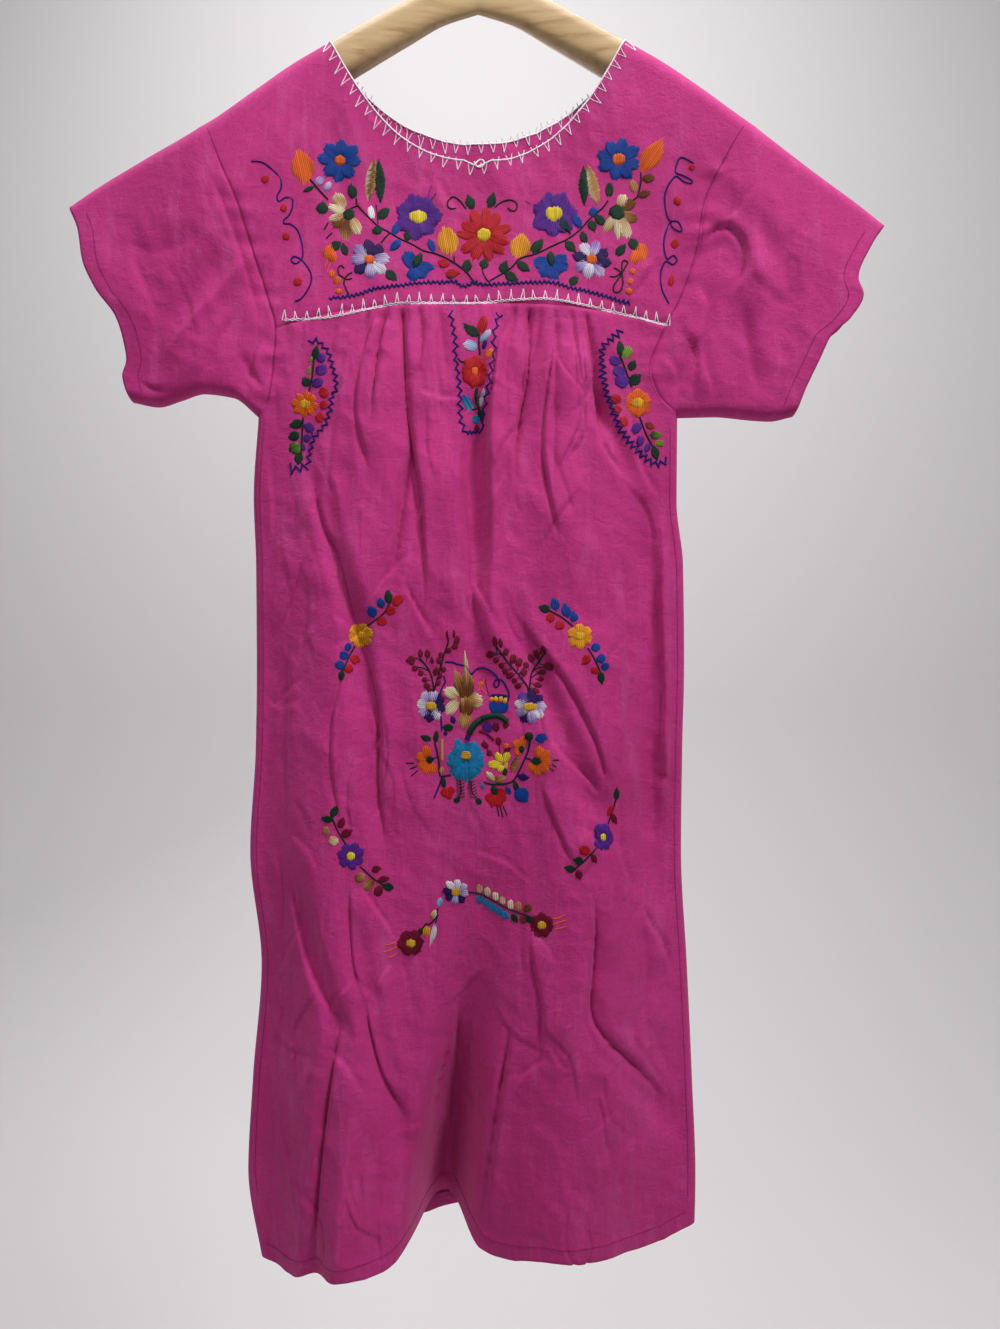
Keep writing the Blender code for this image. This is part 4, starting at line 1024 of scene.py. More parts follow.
skirtCut = {
    "side": (0.021, 9, "soft"),
    "frontTop": ((0.195, 32), (0.425, 72), (0.59, 36), (0.825, 72), (0.979, 32)),
    "frontHem": ((0.16, 32), (0.33, 72), (0.56, 36), (0.79, 72), (0.979, 32)),
    "backTop": ((0.195, 20), (0.435, 40), (0.59, 18), (0.825, 40), (0.979, 20)),
    "backHem": ((0.19, 20), (0.4, 40), (0.6, 18), (0.8, 40), (0.979, 20)),
    "armholeRows": {front: 36, back: 28},
    "bodyRows": {front: 306, back: 200},
    "seamFade": (0.0, 0.45),
    "hemRise": (0.8, 1.0),
    # the turned hem: height above the edge, and how far inside the wall
    "turnUp": ((-0.0006, 0.0005), (-0.0003, 0.0011), (0.0006, 0.0014), (0.006, 0.0014), (0.013, 0.0012)),
}


def skirtPiece(name, face, node, finish):
    key = faceName[face]
    top, low = (steps(skirtCut["side"], *skirtCut[key + row], (1.0, skirtCut["side"][1], "hard"))
                for row in ("Top", "Hem"))
    upper = np.linspace(0, 1, skirtCut["armholeRows"][face], endpoint=False)
    lower = np.linspace(0, 1, skirtCut["bodyRows"][face] + 1)
    edges = {}
    for side, sideKey in sideName.items():
        level = underarmPlace[side][1]
        bottom = float(hemCurve[face](side * bodyTable[sideKey][-1]))
        z = level + (bottom - level) * lower
        x = side * np.where(z > level - 1e-9, underarmPlace[side][0], bodyCurve[sideKey](z))
        edges[side] = np.vstack((lowerArmhole(side, upper), together(x, z)))
    first, last = edges[left], edges[right]
    levels = 0.5 * (first[:, 1] + last[:, 1])
    down = np.clip((levels - first[0, 1]) / (first[-1, 1] - first[0, 1]), 0, 1)[:, None]
    across = top[None] + (low - top)[None] * ease(down, 0.0, 1.0)

    def between(row, column):
        return first[row, column] + (last[row, column] - first[row, column]) * across

    every = slice(None)
    x, z = between(every, slice(0, 1)), between(every, slice(1, 2))
    z = z + (yokeSeam(between(0, 0)) - between(0, 1)) * (1 - ease(down, *skirtCut["seamFade"]))
    z = z + (hemCurve[face](between(-1, 0)) - between(-1, 1)) * ease(down, *skirtCut["hemRise"])
    points = wallPoints(x, z, face)
    turned = []
    for up, inside in skirtCut["turnUp"]:
        row = wallPoints(x[-1], z[-1] + up, face)
        row[:, 1] -= face * inside
        turned.append(row)
    points = np.concatenate((points, np.stack(turned)), axis=0)
    return standFor(rowsToMesh(name, points, finish, faceWay=(0, face, 0)), node)


sleeveCut = {
    "out": ((0.12, 10), (1.0, 54)),
    "thinnest": 0.004,
    # the turned cuff: share of the way out, and how far inside the wall
    "turnUp": ((0.9965, 0.0012), (0.985, 0.0013), (0.93, 0.0012)),
}


def sleevePiece(name, side, node, finish):
    upper = yokeEdge(side)(steps(*yokeCut["rows"][:2], (1.0, 36)))
    lower = lowerArmhole(side, steps((0.92, 24), (1.0, 7, "hard")))
    stations = np.vstack((upper, lower[1:]))
    lengths = np.concatenate(([0.0], np.cumsum(np.linalg.norm(np.diff(stations, axis=0), axis=1))))
    shares = lengths / lengths[-1]
    table = cuffTable[sideName[side]]
    cuffTop, cuffLow = table["z"][0], table["z"][-1]
    reach = underarmPlace[side][0]

    def armhole(share):
        return together(*(np.interp(share, shares, stations[:, k]) for k in (0, 1)))

    def cuff(share):
        return sidePlaces(side, cuffCurve, cuffTop, cuffLow, share)

    def topFold(share):
        x = stations[0, 0] + (side * table["off"][0] - stations[0, 0]) * share
        return together(x, topLine(x))

    def bottomFold(share):
        x = side * (reach + (table["off"][-1] - reach) * share)
        return together(x, sleeveBottom(x))

    def wholeRing(out):
        places = patchPlaces(armhole, cuff, topFold, bottomFold, shares, out)
        ahead = wallPoints(places[..., 0], places[..., 1], front)
        behind = wallPoints(places[..., 0], places[..., 1], back)
        return ahead, behind

    out = steps(*sleeveCut["out"])
    ahead, behind = wholeRing(out)
    points = np.concatenate((ahead, behind[:, -2:0:-1]), axis=1)
    turned = []
    for share, inside in sleeveCut["turnUp"]:
        ahead, behind = wholeRing(np.array([0.0, share, 1.0]))
        middle = 0.5 * (ahead[1] + behind[1])
        gap = np.linalg.norm(ahead[1] - behind[1], axis=1)
        gap = np.maximum(gap, sleeveCut["thinnest"])[:, None]
        ahead[1] += (middle - ahead[1]) * 2 * inside / gap
        behind[1] += (middle - behind[1]) * 2 * inside / gap
        turned.append(np.concatenate((ahead[1], behind[1, -2:0:-1])))
    points = np.concatenate((points, np.stack(turned)), axis=0)
    piece = rowsToMesh(name, points, finish, closed=True)
    middle = np.mean(points, axis=(0, 1))[1]
    faces = piece.data.polygons
    if sum(face.normal.y * (face.center.y - middle) * face.area for face in faces) < 0:
        piece.data.flip_normals()
    return standFor(piece, node)


cottonCloth = cottonFinish("magentaCotton")
frontYoke = yokePiece("frontYoke", front, "front_yoke", cottonCloth)
backYoke = yokePiece("backYoke", back, "back_yoke", cottonCloth)
frontSkirt = skirtPiece("frontSkirt", front, "front_skirt", cottonCloth)
backSkirt = skirtPiece("backSkirt", back, "back_skirt", cottonCloth)
leftSleeve = sleevePiece("leftSleeve", left, "left_sleeve", cottonCloth)
rightSleeve = sleevePiece("rightSleeve", right, "right_sleeve", cottonCloth)

# The hanger: contoured pale wood and its wire hook
wood = {
    "colour": linear(180, 148, 104),
    "dark": linear(158, 124, 82),
    "light": linear(194, 166, 122),
}


def woodFinish():
    finish = Finish("paleWood", {"Roughness": 0.38, "Coat Weight": 0.25, "Coat Roughness": 0.22})
    place = finish.places()
    grain = finish.grain(place, (5.0, 230.0, 230.0), 4.0, 0.5, 0.2)
    pores = finish.grain(place, (60.0, 1500.0, 1500.0), 2.0, 0.7)
    stops = [(0.25, wood["dark"]), (0.45, wood["colour"]), (0.8, wood["light"])]
    tone = finish.node("ShaderNodeValToRGB", {"stops": stops}, {"Fac": grain})
    tone = finish.mix(finish.ranged(pores, 0.6, 0.85, most=0.22), tone, (*wood["dark"], 1.0))
    finish.bump(grain * 0.5 + pores * 0.3, 0.12, 0.0003)
    finish.set(Base_Color=tone, Roughness=0.3 + 0.18 * grain)
    return finish.material


def hangerWood():
    run = np.linspace(-1, 1, hanger["rings"])
    xs = hanger["reach"] * np.sign(run) * (1 - (1 - np.abs(run)) ** hanger["endCrowd"])
    turn = np.linspace(0, 2 * np.pi, hanger["around"], endpoint=False)
    c, s = np.cos(turn), np.sin(turn)
    power, rings = 2 / hanger["roundness"], []
    for x in xs:
        off = abs(x)
        depth = float(depthCurve["shoulder"](off)) * hanger["depthShare"] - hanger["clearance"]
        underSeam = float(ease(off, *hanger["seamReach"]))
        depth *= 1 - hanger["seamThinner"] * underSeam
        top = float(topLine(x)) - hanger["clearance"] - hanger["seamClearance"] * underSeam
        taper = float(ease(off, hanger["taperStart"], hanger["reach"]))
        height = hanger["height"] + (hanger["endHeight"] - hanger["height"]) * taper
        toEnd = max(hanger["reach"] - off, 0.0)
        close = math.sqrt(max(1 - max(1 - toEnd / hanger["roundEnd"], 0.0) ** 2, 0.0))
        centre = -outline["contourForward"] * min(off / outline["contourReach"], 1.0) ** 2
        y = centre + depth * close * np.sign(c) * np.abs(c) ** power
        z = top - 0.5 * height + 0.5 * height * close * np.sign(s) * np.abs(s) ** power
        rings.append(together(np.full(len(turn), x), y, z))
    return np.stack(rings)


standFor(rowsToMesh("hangerWood", hangerWood(), woodFinish(), closed=True), "hanger_wood")

# The hook turns out of its stem on a small radius and round the hanging point on a large one
hook = {
    "wire": 0.0019,
    "radius": 0.0235,
    "neckRadius": 0.008,
    "tipAngle": 195,
    "steps": 90,
    "neckSteps": 16,
    "around": 20,
    "foot": -0.0724,
}


def hookPiece():
    centre = hook["wire"] - hook["radius"]
    reach = hook["radius"] + hook["neckRadius"]
    lean = math.acos(hook["neckRadius"] / reach)
    neck = centre - reach * math.sin(lean)

    def arc(x, z, radius, turns):
        return together(x + radius * np.cos(turns), z + radius * np.sin(turns))

    turns = np.linspace(math.pi, math.pi - lean, hook["neckSteps"])
    bend = arc(hook["neckRadius"], neck, hook["neckRadius"], turns)
    turns = np.linspace(-lean, math.radians(hook["tipAngle"]), hook["steps"])[1:]
    bow = arc(0.0, centre, hook["radius"], turns)
    stem = together(np.zeros(4), np.linspace(hook["foot"], neck, 4, endpoint=False))
    ends = hook["wire"] * np.array((0.0, 0.25, 0.7))
    tip = bow[-1] + (bow[-1] - bow[-2]) / np.linalg.norm(bow[-1] - bow[-2]) * ends[:, None]
    path = np.vstack((stem[:1] - (0, 0.0001), stem, bend, bow, tip[1:]))
    swell = np.full(len(path), hook["wire"])
    swell[[0, -1]] = 0.0
    swell[-2] *= 0.8
    middle = together(path[:, 0], np.zeros(len(path)), path[:, 1])
    finish = Finish("platedWire", {"Roughness": 0.18, "Metallic": 1.0})
    scratches = finish.grain(finish.places(), (300.0, 300.0, 900.0), 3.0)
    finish.set(Base_Color=finish.mix(scratches, (0.6, 0.6, 0.61, 1.0), (0.78, 0.78, 0.79, 1.0)),
               Roughness=0.12 + 0.16 * scratches)
    finish.bump(scratches, 0.08, 0.0002)
    piece = tube("hangerHook", middle, np.repeat(swell[:, None], hook["around"], axis=1), finish.material)
    standFor(piece, "hanger_hook")


hookPiece()
print("hanger made")


# Embroidery: satin patches and stitched lines, placed where the photograph shows them, in its pixels
threads = {
    "red": linear(198, 22, 36), "burgundy": linear(122, 8, 46), "orange": linear(244, 104, 24),
    "amber": linear(246, 162, 36), "yellow": linear(244, 214, 48), "gold": linear(236, 180, 40),
    "blue": linear(10, 66, 160), "navy": linear(36, 22, 108), "violet": linear(94, 38, 148),
    "turquoise": linear(24, 130, 186), "sky": linear(124, 188, 232), "green": linear(10, 54, 34),
    "stem": linear(14, 32, 34), "lime": linear(118, 152, 44), "cream": linear(240, 222, 182),
    "tan": linear(196, 144, 84), "brown": linear(116, 62, 22), "lilac": linear(150, 108, 200),
    "pale": linear(222, 204, 238), "plum": linear(48, 18, 92), "white": linear(250, 240, 246),
    # seam: the topstitching thread, darker than the cloth: part thread colour, part painted shade of the
    # seam lines
    "seam": linear(150, 32, 98), "edge": linear(246, 226, 238),
}
stitching = {
    "strand": 1.9,
    "ragged": 0.085,
    "loose": 0.16,
    "places": 7,
    "under": 0.00018,
    "crown": 0.0004,
    "ridge": 0.00022,
    "sunkEnd": 0.0002,
    "brightness": (0.84, 1.14),
    # painted shade: alternate strands coloured darker, standing for the shaded grooves between strands
    "paintedGrooveShade": 0.42,
    # painted shade: strands coloured darker towards a patch's sides, between petals
    "paintedSideShade": 0.45,
    "petalEnd": 0.92,
    # kind: width at the foot, how far the corners draw back, with what power, bulge of the sides
    "petal": (0.4, 0.28, 2.4, 0.26),
    "pointed": (0.42, 0.36, 1.5, 0.32),
    "leaf": (0.36, 1.7, 0.44, 1.5),  # how far its sides start and end from foot and tip, with what powers
    "slantLead": 0.06,
    "ovalRound": 0.92,
    "berryGrowth": (0.03, 1.08),
    "petalTurn": 4,
    "petalReach": (0.94, 1.06),
    "petalLayers": (0.0001, 0.00012),
    "heartHeight": 0.00055,
    "lineStep": 1.1,
    "lineTwist": 3.2,
    "lineHeight": 0.0004,
    "joinHeight": 0.00014,
    "zigzagWidth": 1.3,
    "zigzagReach": 1.15,
    "zigzagOver": 0.22,
}


def threadFinish():
    finish = Finish("embroideryThread", {"Roughness": 0.55, "Specular IOR Level": 0.16})
    tint = finish.node("ShaderNodeAttribute", {"attribute_name": "threadColour"})
    along, across, _ = finish.parts(finish.uv("strand"))
    twist = (along * 5.2 + across * 3.1).sine()
    fibres = finish.grain(finish.uv("strand"), (6.0, 26.0, 1.0), 2.0)
    shade = finish.ranged(fibres, 0.3, 0.75, most=0.42)
    deep = finish.node("ShaderNodeHueSaturation", {}, {"Saturation": 1.08, "Value": 0.72, "Color": tint})
    finish.bump(twist * 0.25 + fibres * 0.8, 0.5, 0.0004)
    finish.set(Base_Color=finish.mix(shade, tint, deep), Roughness=0.46 + 0.22 * fibres)
    return finish.material


def sideways(points):
    # a line's way at each of its points, and the way across it
    way = np.gradient(points, axis=0)
    way /= np.maximum(np.hypot(way[:, 0], way[:, 1]), 1e-9)[:, None]
    return way, together(-way[:, 1], way[:, 0])


class Needlework:
    # plump makes ovals, leaves and berries longer by that share at both ends, and as much wider
    def __init__(self, name, seed, face=front, inside=False, plump=0.0):
        self.name, self.face, self.inside, self.plump = name, face, inside, plump
        self.chance = np.random.default_rng(seed)
        self.stitches = []

    def satin(self, colours, width, base, tip, kind="petal", raised=0.0):
        # a patch of strands side by side, each from its own start to its own end
        base, tip = np.array(base, float), np.array(tip, float)
        along = tip - base
        if kind == "berry":
            self.line("stem", 1.0, [base - along * 0.45, base - along * 0.1, base])
            longer, wider = stitching["berryGrowth"]
            base, tip, width = base - along * longer, tip + along * longer, wider * width
        if kind in ("oval", "leaf", "berry"):
            base, tip = base - along * self.plump, tip + along * self.plump
            along, width = tip - base, width * (1 + 2 * self.plump)
        across = np.array((-along[1], along[0])) / np.hypot(*along) * width / 2
        reach = np.hypot(*along) if kind == "slant" else width
        count = 2 * max(3, int(round(reach / stitching["strand"])))
        u = np.linspace(-1, 1, count + 1)[:, None]
        bulge = 0.0
        if kind in ("petal", "pointed"):
            foot, back, power, bulge = stitching[kind]
            starts = base + across * u * foot
            ends = base + along * (1 - back * np.abs(u) ** power) + across * u * stitching["petalEnd"]
        elif kind == "leaf":
            first, firstPower, last, lastPower = stitching["leaf"]
            starts = base + along * first * np.abs(u) ** firstPower + across * u
            ends = base + along * (1 - last * np.abs(u) ** lastPower) + across * u
        elif kind == "slant":
            t, lead = 0.5 + 0.5 * u, stitching["slantLead"]
            edge = np.sin(np.pi * t) ** 0.8
            starts = base + along * t * (1 - lead) - across * edge
            ends = base + along * (lead + t * (1 - lead)) + across * edge
        else:
            chord = np.sqrt(1 - stitching["ovalRound"] * u**2)
            starts = base + along * 0.5 * (1 - chord) + across * u
            ends = base + along * 0.5 * (1 + chord) + across * u
        ragged = self.chance.uniform(-1, 1, (count + 1, 2)) * stitching["ragged"]
        run = ends - starts
        starts, ends = starts + run * ragged[:, :1], ends + run * ragged[:, 1:]
        v = np.linspace(0, 1, stitching["places"])[:, None, None]
        pixels = starts + (ends - starts) * v + across * u * bulge * np.sin(np.pi * v)
        ridge = np.where(np.arange(count + 1) % 2, 1.0, -1.0)
        crown = (1 - (2 * v[..., 0] - 1) ** 4) * (1 - np.abs(u[:, 0]) ** 8)
        lifts = stitching["under"] + raised + stitching["crown"] * crown + stitching["ridge"] * ridge
        lifts = np.where(crown > 0.01, lifts, -stitching["sunkEnd"])
        names = colours.split()
        stops = np.array([threads[name] for name in names])
        loose = self.pairs(-stitching["loose"], stitching["loose"], count)
        place = np.clip(v[..., 0] + loose, 0, 1) * (len(names) - 1)
        tones = together(*(np.interp(place, np.arange(len(names)), stops[:, k]) for k in range(3)))
        bright = self.pairs(*stitching["brightness"], count)
        # painted shade: every other strand darker, for the shaded grooves between strands
        bright = bright * np.where(np.arange(count + 1) % 2, 1.0, stitching["paintedGrooveShade"])
        # painted shade: strands darker towards the patch's sides, for the shade between petals and buds
        bright = bright * (1 - stitching["paintedSideShade"] * np.abs(u[:, 0]) ** 5)
        tones = tones * bright[None, :, None]
        lengths = np.hypot(*np.moveaxis(ends - starts, -1, 0))
        lanes = np.broadcast_to(u[:, 0] * count / 4, crown.shape)
        self.stitches.append((pixels, lifts, tones, together(v[..., 0] * lengths, lanes)))

    def pairs(self, least, most, count):
        # one chance value for each pair of a ridge and its groove
        return np.repeat(self.chance.uniform(least, most, count // 2 + 1), 2)[: count + 1]

    def flower(self, centre, radius, petals, turn, colours, heart=None, kind="petal", squash=1.0,
               overlap=1.08):
        inner, width = (0.16 if heart else 0.02) * radius, overlap * 2 * math.pi * radius * 0.7 / petals
        lean, (layer, step) = stitching["petalTurn"], stitching["petalLayers"]
        for petal in range(petals):
            angle = math.radians(turn + 360.0 * petal / petals + self.chance.uniform(-lean, lean))
            way = np.array((math.sin(angle) * squash, -math.cos(angle)))
            reach = radius * self.chance.uniform(*stitching["petalReach"])
            tone = colours[petal % len(colours)] if isinstance(colours, list) else colours
            foot, tip = way * inner + centre, way * reach + centre
            self.satin(tone, width, foot, tip, kind, step * (petal % 2) + layer)
        if heart:
            name, wide, high = heart
            low, top = (centre[0], centre[1] + high / 2), (centre[0], centre[1] - high / 2)
            self.satin(name, wide, low, top, "oval", stitching["heartHeight"])

    def line(self, colour, width, path, twist=True, raised=0.0):
        # stem stitch: a round thread along a path, with a slanting join every few pixels. Its colour is
        # painted lighter along the thread's middle and darker at its sides and at every join: painted light
        # and shade
        points = smoothPath(path, stitching["lineStep"])
        across = sideways(points)[1] * width / 2
        u = np.linspace(-1, 1, 5)
        along = np.arange(len(points)) * stitching["lineStep"]
        phase = (along[:, None] + 1.2 * u * width / 2) * 2 * math.pi / stitching["lineTwist"]
        join = np.cos(phase) if twist else np.zeros(phase.shape)
        pixels = points[:, None] + across[:, None] * u[None, :, None] * (1 + 0.1 * join[..., None])
        arch = np.sqrt(np.maximum(1 - u**2, 0.0))
        height = width * stitching["lineHeight"] + stitching["joinHeight"] * join
        # painted light and shade: lighter on the thread's crown, darker at its sides and at the joins
        tones = np.array(threads[colour]) * (0.86 + 0.18 * join + 0.12 * (arch - 0.5))[..., None]
        strands = [np.broadcast_to(part, phase.shape) for part in (along[:, None], u * 2)]
        self.stitches.append((pixels, raised - 0.00005 + arch * height, tones, together(*strands)))

    def zigzag(self, width, amplitude, pitch, path):
        points = evenly(path, pitch / 2)
        side = np.where(np.arange(len(points)) % 2, 1.0, -1.0) * self.chance.uniform(0.6, 1.2, len(points))
        corners = points + sideways(points)[1] * (amplitude * stitching["zigzagReach"] * side)[:, None]
        for start, end in zip(corners, corners[1:]):
            end = end + (end - start) * stitching["zigzagOver"]
            self.line("navy", width * stitching["zigzagWidth"], [start, end], twist=False)

    def ticks(self, x0, z0, x1, z1, width):
        for x, z in zip(np.linspace(x0, x1, 6), np.linspace(z0, z1, 6)):
            corners = [(x - width / 2, z - 1.5), (x, z + 0.5), (x + width / 2, z - 1.5)]
            self.line("stem", 0.8, corners, False, 0.0003)

    def sew(self):
        shape = bmesh.new()
        tint = shape.verts.layers.float_color.new("threadColour")
        strand = shape.loops.layers.uv.new("strand")
        everyPixel = np.concatenate([pixels.reshape(-1, 2) for pixels, _, _, _ in self.stitches])
        everyLift = np.concatenate([lifts.reshape(-1) for _, lifts, _, _ in self.stitches])
        places = onWall(everyPixel, self.face)
        if self.inside:
            everyLift = -everyLift - 0.0002
        everyPoint = wallPoints(places[:, 0], places[:, 1], self.face, everyLift)
        seenFrom = front if self.face == front or self.inside else back
        passed = 0
        for pixels, lifts, tones, strands in self.stitches:
            rows, columns = pixels.shape[:2]
            points = everyPoint[passed : passed + rows * columns].reshape(rows, columns, 3)
            passed += rows * columns
            made = bmesh.ops.create_grid(shape, x_segments=columns - 1, y_segments=rows - 1, size=1.0)
            spots = gridPlaces(made["verts"], rows, columns)
            faces = {face for vert in spots for face in vert.link_faces}
            for face in faces:
                for loop in face.loops:
                    loop[strand].uv = strands[spots[loop.vert]]
            for vert, (i, j) in spots.items():
                vert.co = points[i, j]
                vert[tint] = (*tones[i, j], 1.0)
            turned = np.cross(points[-1, 0] - points[0, -1], points[0, 0] - points[-1, -1])[1]
            if turned * seenFrom < 0:
                bmesh.ops.reverse_faces(shape, faces=list(faces))
        piece = meshPiece(self.name, shape, embroideryThread)
        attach(piece, "root")
        print(self.name, len(self.stitches), "stitched patches,", len(piece.data.polygons), "faces")


def embroider(name, seed, plump, work):
    # work, in photo pixels. (colour, width): paths of lines, x, z, x, z. "colours kind": patches, each
    # its width, foot x, z, way from there to its tip x, z, height. zigzags: width, amplitude, pitch,
    # path. cords: a line's own values. flowers: centre, radius, petals, turn, colours, heart (colour,
    # width, height), kind, squash, overlap. ticks: rows of small Vs, from x, z to x, z, their width.
    needle = Needlework(name, seed, plump=plump)
    own = {"zigzags": needle.zigzag, "cords": needle.line, "flowers": needle.flower, "ticks": needle.ticks}
    for key, rows in work.items():
        for row in rows:
            if isinstance(key, tuple):
                needle.line(*key, row)
            elif key in own:
                own[key](*row)
            else:
                colours, kind = key.rsplit(" ", 1)
                width, x, z, runX, runZ, *raised = row
                needle.satin(colours, width, (x, z), (x + runX, z + runZ), kind, *raised)
    needle.sew()


